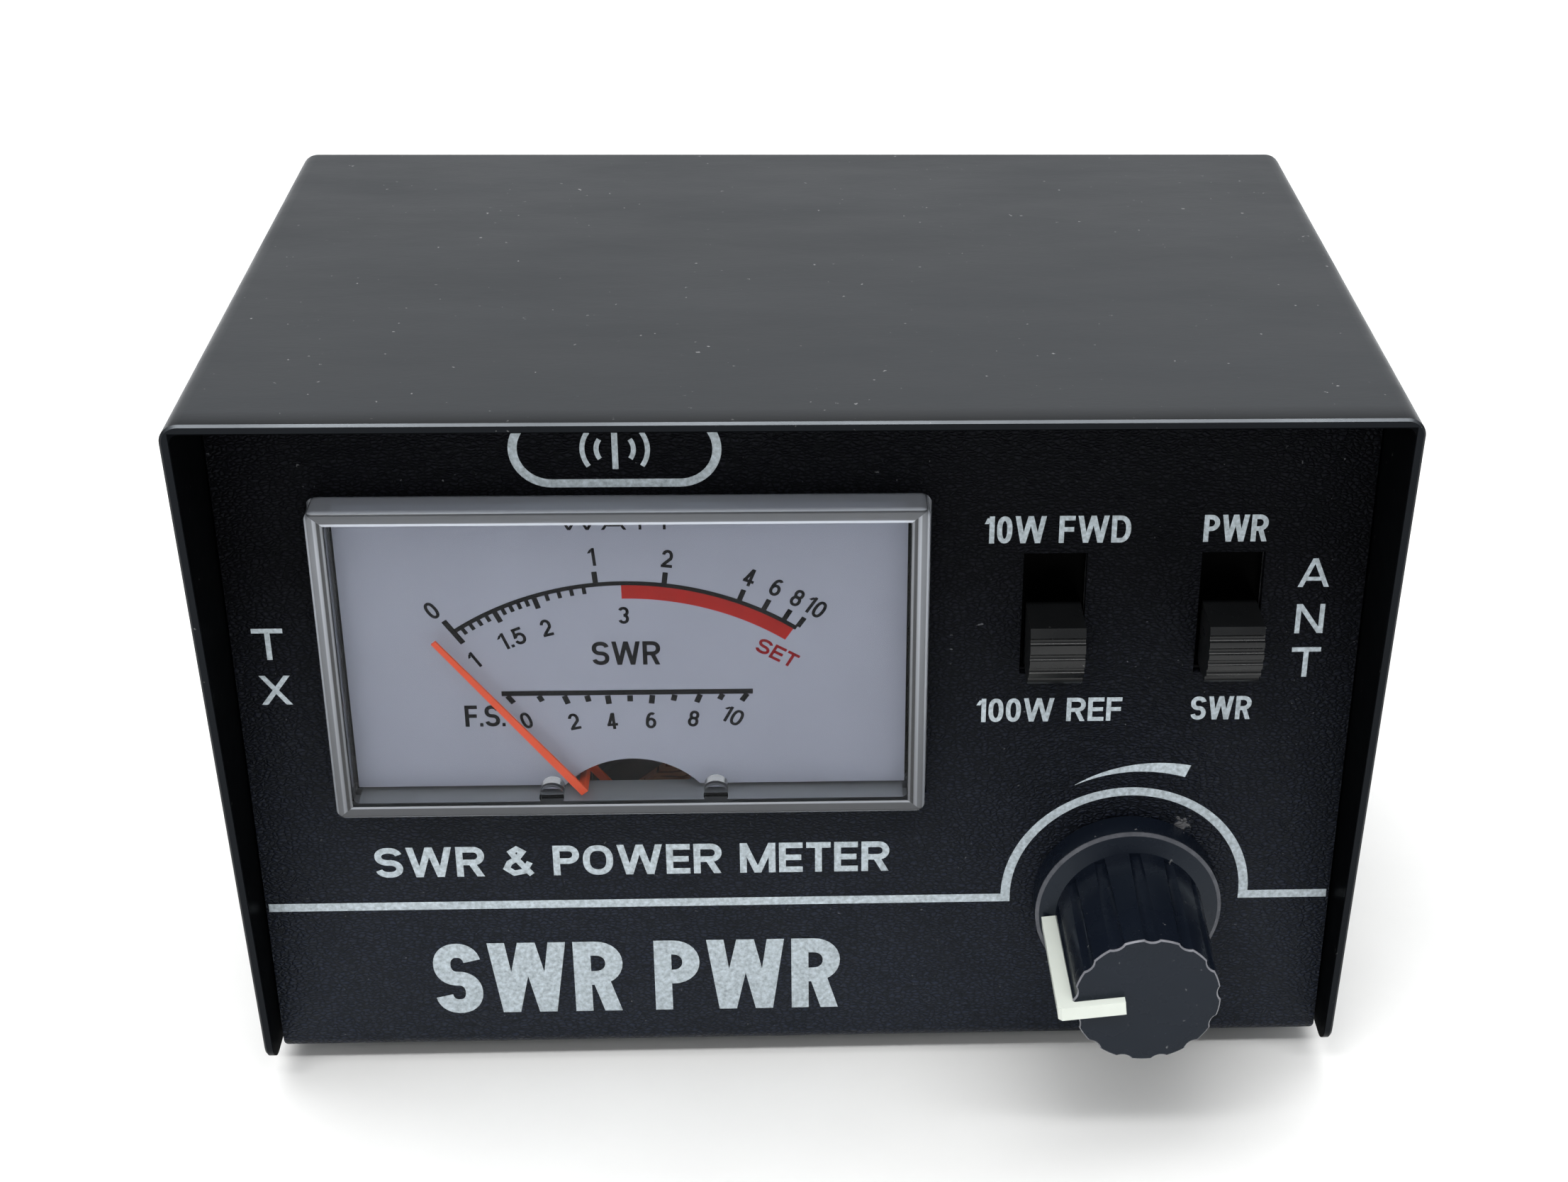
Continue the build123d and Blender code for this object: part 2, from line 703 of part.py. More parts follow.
with BuildPart() as pot_tags:
    with BuildSketch(dial_axis.offset(-sheet - 2.5)):
        with Locations((-4.5, -9.3), (0, -9.3), (4.5, -9.3)):
            Rectangle(1.8, 2.0)
    extrude(amount=-0.5)
    with BuildSketch(dial_axis.offset(-sheet - 2.5)):
        with Locations((-4.5, -10.05), (0, -10.05), (4.5, -10.05)):
            Rectangle(1.8, 0.5)
    extrude(amount=-6.0)
pot_tags.part.label = "pot_tags"
export_step(pot_tags.part, "parts/pot_tags.step")

with BuildPart() as pot_washer:
    with BuildSketch(dial_axis):
        Circle(5.6)
        Circle(bushing_radius + 0.05, mode=Mode.SUBTRACT)
    extrude(amount=0.5)
pot_washer.part.label = "pot_washer"
export_step(pot_washer.part, "parts/pot_washer.step")

with BuildPart() as pot_nut:
    add(dial_axis.offset(0.5) * hex_nut(10.0, 2.0, bushing_radius + 0.02))
pot_nut.part.label = "pot_nut"
export_step(pot_nut.part, "parts/pot_nut.step")

with BuildPart() as pot_shaft:
    with BuildSketch(dial_axis.offset(-11.0)):
        Circle(shaft_radius)
    extrude(amount=11.0 + 15.5)
    with BuildSketch(dial_axis.offset(15.5)):
        with Locations((0, shaft_radius)):
            Rectangle(8.0, 3.0)
    extrude(amount=-10.5, mode=Mode.SUBTRACT)
pot_shaft.part.label = "pot_shaft"
export_step(pot_shaft.part, "parts/pot_shaft.step")

with BuildPart() as pot_wiper:
    with BuildSketch(dial_axis.offset(-6.0)):
        Circle(5.0)
        with Locations((0, 4.0)):
            Rectangle(3.0, 6.0)
        Circle(shaft_radius, mode=Mode.SUBTRACT)
    extrude(amount=-0.8)
    with BuildSketch(dial_axis.offset(-6.0)):
        with Locations((0, 6.2)):
            Rectangle(3.0, 1.4)
    extrude(amount=2.1)
pot_wiper.part.label = "pot_wiper"
export_step(pot_wiper.part, "parts/pot_wiper.step")

with BuildPart() as level_knob:
    with BuildSketch(Plane(origin=dial_axis.origin, x_dir=(1, 0, 0), z_dir=(0, 0, 1))):
        Polygon(
            (0, -0.3),
            (skirt_radius, -0.3),
            (skirt_radius, -3.5),
            (knob_base, -4.2),
            (knob_tip, -knob_height),
            (0, -knob_height),
            align=None,
        )
    revolve(axis=Axis(dial_axis.origin, (0, 1, 0)))
    # flutes run from the skirt to the cap and lean in with the body
    for flute in range(knob_flutes):
        turn = pointer_turn + radians(360 * (flute + 0.5) / knob_flutes)
        for height, reach, size in ((4.3, knob_base + 0.15, 0.62), (knob_height + 1, knob_tip + 1.05, 1.4)):
            with BuildSketch(dial_axis.offset(height)):
                with Locations((reach * cos(turn), reach * sin(turn))):
                    Circle(size)
        loft(mode=Mode.SUBTRACT)
    chamfer(level_knob.edges().group_by(Axis.Y)[0], length=0.15)
    with BuildSketch(dial_axis):
        Circle(7.0)
    extrude(amount=5.2, mode=Mode.SUBTRACT)
    with BuildSketch(dial_axis):
        Circle(shaft_radius + 0.01)
        with Locations((0, shaft_radius)):
            Rectangle(8.0, 2.98, mode=Mode.SUBTRACT)
    extrude(amount=15.8, mode=Mode.SUBTRACT)
    with BuildSketch(pointer_plane):
        with Locations((7.0, 4.2)):
            Rectangle(5.0, 30.0, align=(Align.MIN, Align.MIN))
        with Locations((2.3, 18.6)):
            Rectangle(8.0, 10.0, align=(Align.MIN, Align.MIN))
    extrude(amount=pointer_thickness / 2, both=True, mode=Mode.SUBTRACT)
level_knob.part.label = "level_knob"
export_step(level_knob.part, "parts/level_knob.step")

with BuildPart() as knob_pointer:
    with BuildSketch(pointer_plane):
        Polygon(
            (7.0, 4.2),
            (9.6, 4.2),
            (9.4, 20.0),
            (9.0, knob_reach),
            (2.3, knob_reach),
            (2.3, 18.6),
            (7.0, 18.6),
            align=None,
        )
    extrude(amount=pointer_thickness / 2, both=True)
knob_pointer.part.label = "knob_pointer"
export_step(knob_pointer.part, "parts/knob_pointer.step")

# ---------------------------------------------------------------- coaxial sockets
contact_inside = 12.0
for name, x in sockets:
    spot = Plane(origin=(x, rear_y, socket_z), x_dir=(-1, 0, 0), z_dir=(0, 1, 0))

    with BuildPart() as shell:
        with BuildSketch(spot):
            RectangleRounded(25.4, 25.4, 2.5)
        extrude(amount=1.7)
        with BuildSketch(spot):
            Circle(7.94)
        extrude(amount=socket_reach)
        with BuildSketch(spot):
            Circle(7.7)
        extrude(amount=-3.0)
        with BuildSketch(spot.offset(-3.0)):
            Circle(6.4)
        extrude(amount=40, mode=Mode.SUBTRACT)
        with BuildSketch(spot):
            with GridLocations(socket_hole_spacing, socket_hole_spacing, 2, 2):
                Circle(screw_hole)
        extrude(amount=1.7, mode=Mode.SUBTRACT)
        # four notches in the rim
        with BuildSketch(spot.offset(socket_reach)):
            Rectangle(20, 1.6)
            Rectangle(1.6, 20)
        extrude(amount=-1.2, mode=Mode.SUBTRACT)
    shell.part.label = name + "_shell"
    export_step(shell.part, "parts/" + name + "_shell.step")

socket_middles = ((-socket_x, socket_z), (socket_x, socket_z))
with BuildPart() as socket_insulators:
    with BuildSketch(back.offset(-4.0)):
        with Locations(*socket_middles):
            Circle(6.38)
    extrude(amount=8.0)
    with BuildSketch(back):
        with Locations(*socket_middles):
            Circle(4.2)
    extrude(amount=9.0)
    with BuildSketch(back.offset(-4.0)):
        with Locations(*socket_middles):
            Circle(2.62)
    extrude(amount=20, mode=Mode.SUBTRACT)
socket_insulators.part.label = "socket_insulators"
export_step(socket_insulators.part, "parts/socket_insulators.step")

with BuildPart() as socket_contacts:
    with BuildSketch(back.offset(-contact_inside)):
        with Locations(*socket_middles):
            Circle(1.2)
    extrude(amount=contact_inside)
    with BuildSketch(back.offset(-6.0)):
        with Locations(*socket_middles):
            Circle(2.6)
    extrude(amount=17.0)
    with BuildSketch(back.offset(11.0)):
        with Locations(*socket_middles):
            Circle(2.0)
    extrude(amount=-10.0, mode=Mode.SUBTRACT)
    with BuildSketch(back.offset(11.0)):
        with Locations(*socket_middles):
            Rectangle(8, 0.5)
    extrude(amount=-6.0, mode=Mode.SUBTRACT)
socket_contacts.part.label = "socket_contacts"
export_step(socket_contacts.part, "parts/socket_contacts.step")

socket_screw = pan_screw(6.0)
panel_nut = hex_nut(nut_flats, nut_height, screw_radius + 0.02)
with BuildPart() as socket_screws:
    for name, x in sockets:
        for shift_x in (-socket_hole_spacing / 2, socket_hole_spacing / 2):
            for shift_z in (-socket_hole_spacing / 2, socket_hole_spacing / 2):
                spot = Plane(
                    origin=(x + shift_x, rear_y + 1.7, socket_z + shift_z),
                    x_dir=(-1, 0, 0),
                    z_dir=(0, 1, 0),
                )
                add(spot * socket_screw)
socket_screws.part.label = "socket_screws"
export_step(socket_screws.part, "parts/socket_screws.step")

with BuildPart() as socket_nuts:
    for name, x in sockets:
        for shift_x in (-socket_hole_spacing / 2, socket_hole_spacing / 2):
            for shift_z in (-socket_hole_spacing / 2, socket_hole_spacing / 2):
                spot = Plane(
                    origin=(x + shift_x, rear_y - sheet, socket_z + shift_z),
                    x_dir=(1, 0, 0),
                    z_dir=(0, -1, 0),
                )
                add(spot * panel_nut)
socket_nuts.part.label = "socket_nuts"
export_step(socket_nuts.part, "parts/socket_nuts.step")

# ---------------------------------------------------------------- circuit board
board_thickness = 1.6
post_length = 8.0
board_back = rear_y - sheet - post_length
board = Plane(
    origin=(0, board_back - board_thickness, socket_z),
    x_dir=(1, 0, 0),
    z_dir=(0, -1, 0),
)

with BuildPart() as circuit_board:
    with BuildSketch(board):
        Rectangle(92, 34)
        with Locations((-socket_x, 0), (socket_x, 0)):
            Circle(1.25, mode=Mode.SUBTRACT)
        with Locations((0, -8), (0, 8)):
            Circle(screw_hole, mode=Mode.SUBTRACT)
    extrude(amount=-board_thickness)
circuit_board.part.label = "circuit_board"
export_step(circuit_board.part, "parts/circuit_board.step")

with BuildPart() as line_strip:
    with BuildSketch(board.offset(-board_thickness)):
        Rectangle(2 * socket_x, 3.0)
        with Locations((-socket_x, 0), (socket_x, 0)):
            Circle(3.0)
        with Locations((-socket_x, 0), (socket_x, 0)):
            Circle(1.25, mode=Mode.SUBTRACT)
    extrude(amount=-0.2)
line_strip.part.label = "line_strip"
export_step(line_strip.part, "parts/line_strip.step")

with BuildPart() as board_posts:
    for shift_z in (-8, 8):
        place = Plane(origin=(0, rear_y - sheet, socket_z + shift_z), x_dir=(1, 0, 0), z_dir=(0, -1, 0))
        add(place * hex_nut(nut_flats, post_length, screw_radius + 0.02))
board_posts.part.label = "board_posts"
export_step(board_posts.part, "parts/board_posts.step")

post_screw = pan_screw(4.0)
with BuildPart() as board_screws:
    for shift_z in (-8, 8):
        outer = Plane(origin=(0, rear_y, socket_z + shift_z), x_dir=(-1, 0, 0), z_dir=(0, 1, 0))
        inner = Plane(origin=(0, board.origin.Y, socket_z + shift_z), x_dir=(1, 0, 0), z_dir=(0, -1, 0))
        add(outer * post_screw)
        add(inner * post_screw)
board_screws.part.label = "board_screws"
export_step(board_screws.part, "parts/board_screws.step")

diode = axial_part(1.0, 4.0, 9.0, 1.6)
with BuildPart() as diodes:
    add(board * Pos(-20, -11, 0) * diode)
    add(board * Pos(20, -11, 0) * diode)
diodes.part.label = "diodes"
export_step(diodes.part, "parts/diodes.step")

resistor = axial_part(1.25, 6.5, 11.0, 1.8)
with BuildPart() as resistors:
    for spot in ((-34, -12), (34, -12), (-20, 11), (20, 11)):
        add(board * Pos(spot[0], spot[1], 0) * resistor)
resistors.part.label = "resistors"
export_step(resistors.part, "parts/resistors.step")

with BuildPart() as capacitors:
    with BuildSketch(board):
        with Locations((-9, -9.5), (9, -9.5), (-34, 12), (34, 12)):
            Circle(2.5)
    extrude(amount=7.0)
    fillet(capacitors.edges().group_by(Axis.Y)[0], radius=0.5)
capacitors.part.label = "capacitors"
export_step(capacitors.part, "parts/capacitors.step")

with BuildPart() as trimmers:
    with BuildSketch(board):
        with Locations((-9, 10), (9, 10)):
            Rectangle(6.5, 6.5)
    extrude(amount=4.0)
    with BuildSketch(board.offset(4.0)):
        with Locations((-9, 10), (9, 10)):
            Circle(2.2)
    extrude(amount=0.8)
    with BuildSketch(board.offset(4.8)):
        with Locations((-9, 10), (9, 10)):
            Rectangle(3.4, 0.7)
    extrude(amount=-0.6, mode=Mode.SUBTRACT)
trimmers.part.label = "trimmers"
export_step(trimmers.part, "parts/trimmers.step")


def wire(*spots):
    """One insulated wire through the given places."""
    with BuildPart() as lead:
        with BuildLine() as path:
            Spline(*spots)
        with BuildSketch(Plane(origin=path.line @ 0, z_dir=path.line % 0)):
            Circle(0.6)
        sweep()
    return lead.part


lug_y = panel_y + movement_depth + 1.4
board_y = board.origin.Y - 0.8
with BuildPart() as meter_wires:
    for side in (-1, 1):
        x = meter_x + side * 16
        add(
            wire(
                (x, lug_y, meter_z - 9),
                (x, lug_y + 8, meter_z - 14),
                (x * 0.8, board_y - 8, socket_z - 4),
                (x * 0.8, board_y, socket_z - 4),
            )
        )
meter_wires.part.label = "meter_wires"
export_step(meter_wires.part, "parts/meter_wires.step")

tag_y = panel_y + sheet + 9.4
with BuildPart() as control_wires:
    for lane in (-1, 0, 1):
        x = knob_x + lane * 4.5
        add(
            wire(
                (x, tag_y, knob_z - 10.3),
                (x, tag_y + 8, knob_z - 11),
                (x - 6, board_y - 10, socket_z - 20),
                (x - 6, board_y - 4, socket_z - 6),
                (x - 6, board_y, socket_z - 4),
            )
        )
control_wires.part.label = "control_wires"
export_step(control_wires.part, "parts/control_wires.step")
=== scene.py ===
import json
import math

import bpy
from mathutils import Matrix, Vector


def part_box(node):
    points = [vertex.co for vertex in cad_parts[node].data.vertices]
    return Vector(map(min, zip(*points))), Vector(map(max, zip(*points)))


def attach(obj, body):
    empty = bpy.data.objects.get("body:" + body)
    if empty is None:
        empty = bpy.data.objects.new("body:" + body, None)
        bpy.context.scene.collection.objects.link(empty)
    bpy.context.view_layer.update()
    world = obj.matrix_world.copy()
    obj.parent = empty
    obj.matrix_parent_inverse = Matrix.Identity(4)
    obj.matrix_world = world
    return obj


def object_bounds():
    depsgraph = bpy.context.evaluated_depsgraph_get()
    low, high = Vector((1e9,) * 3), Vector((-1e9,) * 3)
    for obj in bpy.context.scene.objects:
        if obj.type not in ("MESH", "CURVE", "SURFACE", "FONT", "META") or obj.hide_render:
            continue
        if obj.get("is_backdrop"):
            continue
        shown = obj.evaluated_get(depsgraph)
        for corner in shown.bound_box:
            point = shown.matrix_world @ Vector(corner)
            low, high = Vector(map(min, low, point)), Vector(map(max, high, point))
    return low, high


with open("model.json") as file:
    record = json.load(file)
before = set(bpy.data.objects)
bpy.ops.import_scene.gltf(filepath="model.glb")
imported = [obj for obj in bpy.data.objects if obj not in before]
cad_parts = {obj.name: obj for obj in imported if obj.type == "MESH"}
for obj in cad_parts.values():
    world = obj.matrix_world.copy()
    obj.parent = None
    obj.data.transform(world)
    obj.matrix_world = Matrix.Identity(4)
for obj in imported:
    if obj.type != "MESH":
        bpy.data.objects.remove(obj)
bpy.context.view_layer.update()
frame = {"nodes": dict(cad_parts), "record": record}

MM = 0.001
nodes = frame["nodes"]
panel_low, panel_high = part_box("chassis")
PANEL_Y = panel_low.y
REAR_Y = panel_high.y
dial_low, dial_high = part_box("dial_plate")
DIAL_Y = dial_low.y
knob_low, knob_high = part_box("level_knob")
KNOB_X = (knob_low.x + knob_high.x) / 2 / MM
KNOB_Z = (knob_low.z + knob_high.z) / 2 / MM
METER_X = (dial_low.x + dial_high.x) / 2 / MM


# ---------------------------------------------------------------- materials
def shader(name):
    mat = bpy.data.materials.new(name)
    mat.use_nodes = True
    tree = mat.node_tree
    return mat, tree, tree.nodes["Principled BSDF"]


def ramp(tree, source, low, high, dark, light):
    """A colour ramp from dark at low to light at high."""
    node = tree.nodes.new("ShaderNodeValToRGB")
    node.color_ramp.elements[0].position = low
    node.color_ramp.elements[1].position = high
    node.color_ramp.elements[0].color = (*dark, 1)
    node.color_ramp.elements[1].color = (*light, 1)
    tree.links.new(source, node.inputs["Fac"])
    return node.outputs["Color"]


def noise(tree, scale, detail=4, rough=0.6, stretch=(1, 1, 1)):
    """Noise in object coordinates, in metres."""
    place = tree.nodes.new("ShaderNodeTexCoord")
    mapping = tree.nodes.new("ShaderNodeMapping")
    mapping.inputs["Scale"].default_value = stretch
    tree.links.new(place.outputs["Object"], mapping.inputs["Vector"])
    node = tree.nodes.new("ShaderNodeTexNoise")
    node.inputs["Scale"].default_value = scale
    node.inputs["Detail"].default_value = detail
    node.inputs["Roughness"].default_value = rough
    tree.links.new(mapping.outputs["Vector"], node.inputs["Vector"])
    return node.outputs["Fac"]


def mix(tree, factor, first, second):
    """Blends two colours; each is a socket or an RGB triple."""
    node = tree.nodes.new("ShaderNodeMix")
    node.data_type = "RGBA"
    for value, socket in ((first, node.inputs[6]), (second, node.inputs[7])):
        if isinstance(value, tuple):
            socket.default_value = (*value, 1)
        else:
            tree.links.new(value, socket)
    if isinstance(factor, float):
        node.inputs[0].default_value = factor
    else:
        tree.links.new(factor, node.inputs[0])
    return node.outputs[2]


def tint(color, amount):
    return tuple(min(1.0, c * amount) for c in color)


def place_axes(tree):
    """The object coordinates and their X, Y and Z parts."""
    place = tree.nodes.new("ShaderNodeTexCoord")
    split = tree.nodes.new("ShaderNodeSeparateXYZ")
    tree.links.new(place.outputs["Object"], split.inputs[0])
    return place.outputs["Object"], split.outputs


def rescale(tree, source, first, last, low, high):
    """Source from first to last becomes low to high, clamped."""
    node = tree.nodes.new("ShaderNodeMapRange")
    for label, value in (("From Min", first), ("From Max", last), ("To Min", low), ("To Max", high)):
        node.inputs[label].default_value = value
    tree.links.new(source, node.inputs["Value"])
    return node.outputs["Result"]


def maths(tree, operation, first, second):
    node = tree.nodes.new("ShaderNodeMath")
    node.operation = operation
    for value, socket in ((first, node.inputs[0]), (second, node.inputs[1])):
        if isinstance(value, (int, float)):
            socket.default_value = value
        else:
            tree.links.new(value, socket)
    return node.outputs[0]


def multiply(tree, first, second):
    """Product of two colours."""
    node = tree.nodes.new("ShaderNodeMix")
    node.data_type = "RGBA"
    node.blend_type = "MULTIPLY"
    node.inputs[0].default_value = 1.0
    tree.links.new(first, node.inputs[6])
    tree.links.new(second, node.inputs[7])
    return node.outputs[2]


def surface(
    name, color, rough, metal=0.0, mottle=0.12, scale=90, grain=900, bump=0.1,
    depth=0.03, stretch=(1, 1, 1), specks=0.0, coat=0.0, smear=0.08, shine=0.5,
):
    """A finish with soft blotches, fine grain, uneven gloss and, if asked, pale specks."""
    mat, tree, bsdf = shader(name)
    blotch = noise(tree, scale, 5, 0.6, stretch)
    shade = ramp(tree, blotch, 0.3, 0.7, tint(color, 1 - mottle), tint(color, 1 + mottle))
    if specks:
        dust = noise(tree, 1400, 2, 0.5)
        mask = ramp(tree, dust, 0.735, 0.79, (0, 0, 0), (specks, specks, specks))
        shade = mix(tree, mask, shade, (0.6, 0.6, 0.6))
    tree.links.new(shade, bsdf.inputs["Base Color"])
    bsdf.inputs["Metallic"].default_value = metal
    bsdf.inputs["Specular IOR Level"].default_value = shine
    gloss = ramp(tree, noise(tree, scale * 2.3, 4, 0.6, stretch), 0.3, 0.7,
                 (rough - smear,) * 3, (rough + smear,) * 3)
    tree.links.new(gloss, bsdf.inputs["Roughness"])
    bsdf.inputs["Coat Weight"].default_value = coat
    bsdf.inputs["Coat Roughness"].default_value = 0.15
    relief = tree.nodes.new("ShaderNodeBump")
    relief.inputs["Strength"].default_value = bump
    relief.inputs["Distance"].default_value = depth * MM
    tree.links.new(noise(tree, grain, 3, 0.55, stretch), relief.inputs["Height"])
    tree.links.new(relief.outputs["Normal"], bsdf.inputs["Normal"])
    return mat


def enamel(name, color):
    """Smooth black enamel of the cover with painted light: glossier on top, a painted highlight on its
    sloped edges, painted shade in a band behind the front edge, and painted shade that leaves it dull
    and dark within its walls.
    """
    mat = surface(name, color, 0.36, mottle=0.10, scale=60, grain=2600, bump=0.25, depth=0.03,
                  specks=0.25, smear=0.06, stretch=(0.35, 1, 1))
    tree = mat.node_tree
    bsdf = tree.nodes["Principled BSDF"]
    low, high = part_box("top_cover")
    axes = place_axes(tree)[1]
    facing = tree.nodes.new("ShaderNodeSeparateXYZ")
    tree.links.new(tree.nodes.new("ShaderNodeNewGeometry").outputs["Normal"], facing.inputs[0])
    # painted highlight: the specular level follows each face's slope, highest on the sloped edges and
    # low on faces turned to the front
    slope = tree.nodes.new("ShaderNodeValToRGB")
    slope.color_ramp.elements[0].color = (0.04, 0.04, 0.04, 1)
    slope.color_ramp.elements[1].color = (0.34, 0.34, 0.34, 1)
    for spot, value in ((0.40, 0.10), (0.60, 1.0), (0.80, 1.0), (0.93, 0.34)):
        slope.color_ramp.elements.new(spot).color = (value, value, value, 1)
    tree.links.new(facing.outputs["Z"], slope.inputs["Fac"])
    gloss = slope.outputs["Color"]
    # painted shade: the top darkens in a band behind the front edge
    front_band_shade = rescale(tree, axes["Y"], low.y + 0.3 * MM, low.y + 3.2 * MM, 0.3, 1.0)
    flat_top = rescale(tree, facing.outputs["Z"], 0.80, 0.95, 1.0, 0.0)
    tree.links.new(front_band_shade, flat_top.node.inputs["To Max"])
    # painted shade: faces within the walls, away from the outer skin, get dull and dark
    side = maths(tree, "ABSOLUTE", axes["X"], 0.0)
    beyond = maths(tree, "MAXIMUM", maths(tree, "GREATER_THAN", side, high.x - 0.9 * MM),
                   maths(tree, "GREATER_THAN", axes["Z"], high.z - 0.9 * MM))
    inner_face_shade = rescale(tree, beyond, 0, 1, 0.12, 1.0)
    painted_shade = maths(tree, "MULTIPLY", flat_top, inner_face_shade)
    tree.links.new(maths(tree, "MULTIPLY", gloss, painted_shade), bsdf.inputs["Specular IOR Level"])
    # the painted shade also darkens the base colour
    base = bsdf.inputs["Base Color"].links[0].from_socket
    shade = rescale(tree, painted_shade, 0, 1, 0.15, 1.0)
    tree.links.new(multiply(tree, base, ramp(tree, shade, 0, 1, (0, 0, 0), (1, 1, 1))),
                   bsdf.inputs["Base Color"])
    bsdf.inputs["Specular Tint"].default_value = (0.86, 0.93, 1.0, 1)
    return mat


def leather_paint(name, color, low_color):
    """Black stove enamel with a fine leather grain and painted shade: darker and less glossy towards
    the top under the cover's overhang, a little bluer towards the bottom, and darker in the creases of
    the grain.
    """
    mat, tree, bsdf = shader(name)
    where, axes = place_axes(tree)
    # painted shade: colour and gloss darken towards the top, under the cover's overhang
    height = rescale(tree, axes["Z"], 0.008, 0.062, 0, 1)
    shade = mix(tree, height, low_color, color)
    blotch = ramp(tree, noise(tree, 70, 6, 0.65), 0.25, 0.75, (0.75,) * 3, (1.3,) * 3)
    warp = tree.nodes.new("ShaderNodeTexNoise")
    warp.inputs["Scale"].default_value = 900
    tree.links.new(where, warp.inputs["Vector"])
    bend = tree.nodes.new("ShaderNodeVectorMath")
    bend.operation = "MULTIPLY_ADD"
    bend.inputs[1].default_value = (0.0007,) * 3
    tree.links.new(warp.outputs["Color"], bend.inputs[0])
    tree.links.new(where, bend.inputs[2])
    squash = tree.nodes.new("ShaderNodeMapping")
    squash.inputs["Scale"].default_value = (0.75, 1, 1.5)
    tree.links.new(bend.outputs[0], squash.inputs["Vector"])
    cells = tree.nodes.new("ShaderNodeTexVoronoi")
    cells.feature = "DISTANCE_TO_EDGE"
    cells.inputs["Scale"].default_value = 1900
    tree.links.new(squash.outputs["Vector"], cells.inputs["Vector"])
    # painted shade in the creases of the grain, lighter on the cells between them
    crease_shade = ramp(tree, cells.outputs["Distance"], 0.02, 0.34, (0.25,) * 3, (1.9,) * 3)
    grained = multiply(tree, multiply(tree, shade, blotch), crease_shade)
    # a small chip in the paint beside the knob
    chip = tree.nodes.new("ShaderNodeVectorMath")
    chip.operation = "DISTANCE"
    chip.inputs[1].default_value = ((KNOB_X + 5.8) * MM, PANEL_Y, (KNOB_Z + 9.0) * MM)
    tree.links.new(where, chip.inputs[0])
    ragged = maths(tree, "MULTIPLY_ADD", noise(tree, 1900, 4, 0.7), 0.005)
    ragged.node.inputs[2].default_value = -0.0018
    chipped = maths(tree, "LESS_THAN", chip.outputs["Value"], ragged)
    dust = ramp(tree, noise(tree, 1700, 2, 0.5), 0.745, 0.79, (0, 0, 0), (0.25,) * 3)
    dusty = mix(tree, dust, grained, (0.30, 0.31, 0.33))
    tree.links.new(mix(tree, chipped, dusty, (0.10, 0.10, 0.105)), bsdf.inputs["Base Color"])
    relief = tree.nodes.new("ShaderNodeBump")
    relief.inputs["Strength"].default_value = 1.0
    relief.inputs["Distance"].default_value = 0.24 * MM
    tree.links.new(cells.outputs["Distance"], relief.inputs["Height"])
    tree.links.new(relief.outputs["Normal"], bsdf.inputs["Normal"])
    tree.links.new(rescale(tree, height, 0, 1, 0.22, 0.05), bsdf.inputs["Specular IOR Level"])
    bsdf.inputs["Specular Tint"].default_value = (0.80, 0.90, 1.0, 1)
    gloss = ramp(tree, noise(tree, 160, 4), 0.3, 0.7, (0.40,) * 3, (0.54,) * 3)
    tree.links.new(gloss, bsdf.inputs["Roughness"])
    return mat


def moulded_black(name, color):
    """Black plastic with painted shade: duller and darker on the faces that stay behind the front
    panel, where the slots are in shade.
    """
    mat = surface(name, color, 0.30, mottle=0.15, grain=2200, bump=0.1, specks=0.2)
    tree = mat.node_tree
    bsdf = tree.nodes["Principled BSDF"]
    axes = place_axes(tree)[1]
    # painted shade: faces behind the front panel are darkened and dulled
    recess_shade = rescale(tree, axes["Y"], PANEL_Y - 0.3 * MM, PANEL_Y + 0.5 * MM, 1.0, 0.03)
    tree.links.new(rescale(tree, recess_shade, 0, 1, 0.0, 0.32), bsdf.inputs["Specular IOR Level"])
    base = bsdf.inputs["Base Color"].links[0].from_socket
    tree.links.new(multiply(tree, base, ramp(tree, recess_shade, 0, 1, (0, 0, 0), (1, 1, 1))),
                   bsdf.inputs["Base Color"])
    return mat


def edged_black(name, color):
    """Black knob plastic with a painted highlight: its thin edges, at the cap and round the skirt, are
    painted lighter grey as if catching the light.
    """
    mat = surface(name, color, 0.27, grain=2400, bump=0.12, specks=0.2, shine=0.24)
    tree = mat.node_tree
    bsdf = tree.nodes["Principled BSDF"]
    axes = place_axes(tree)[1]
    cap_y = knob_low.y
    skirt_y = PANEL_Y - 3.5 * MM
    # painted highlight on the cap's bevel and, fainter, round the skirt's front edge
    cap = maths(tree, "MULTIPLY", maths(tree, "GREATER_THAN", axes["Y"], cap_y + 0.02 * MM),
                maths(tree, "LESS_THAN", axes["Y"], cap_y + 0.24 * MM))
    from_skirt = maths(tree, "ABSOLUTE", maths(tree, "SUBTRACT", axes["Y"], skirt_y), 0.0)
    rim = maths(tree, "LESS_THAN", from_skirt, 0.13 * MM)
    edge = maths(tree, "MAXIMUM", cap, maths(tree, "MULTIPLY", rim, 0.45))
    uneven = maths(tree, "MULTIPLY", edge, noise(tree, 420, 3, 0.6))
    base = bsdf.inputs["Base Color"].links[0].from_socket
    tree.links.new(mix(tree, uneven, base, (0.34, 0.34, 0.37)), bsdf.inputs["Base Color"])
    bsdf.inputs["Specular Tint"].default_value = (0.80, 0.90, 1.0, 1)
    return mat


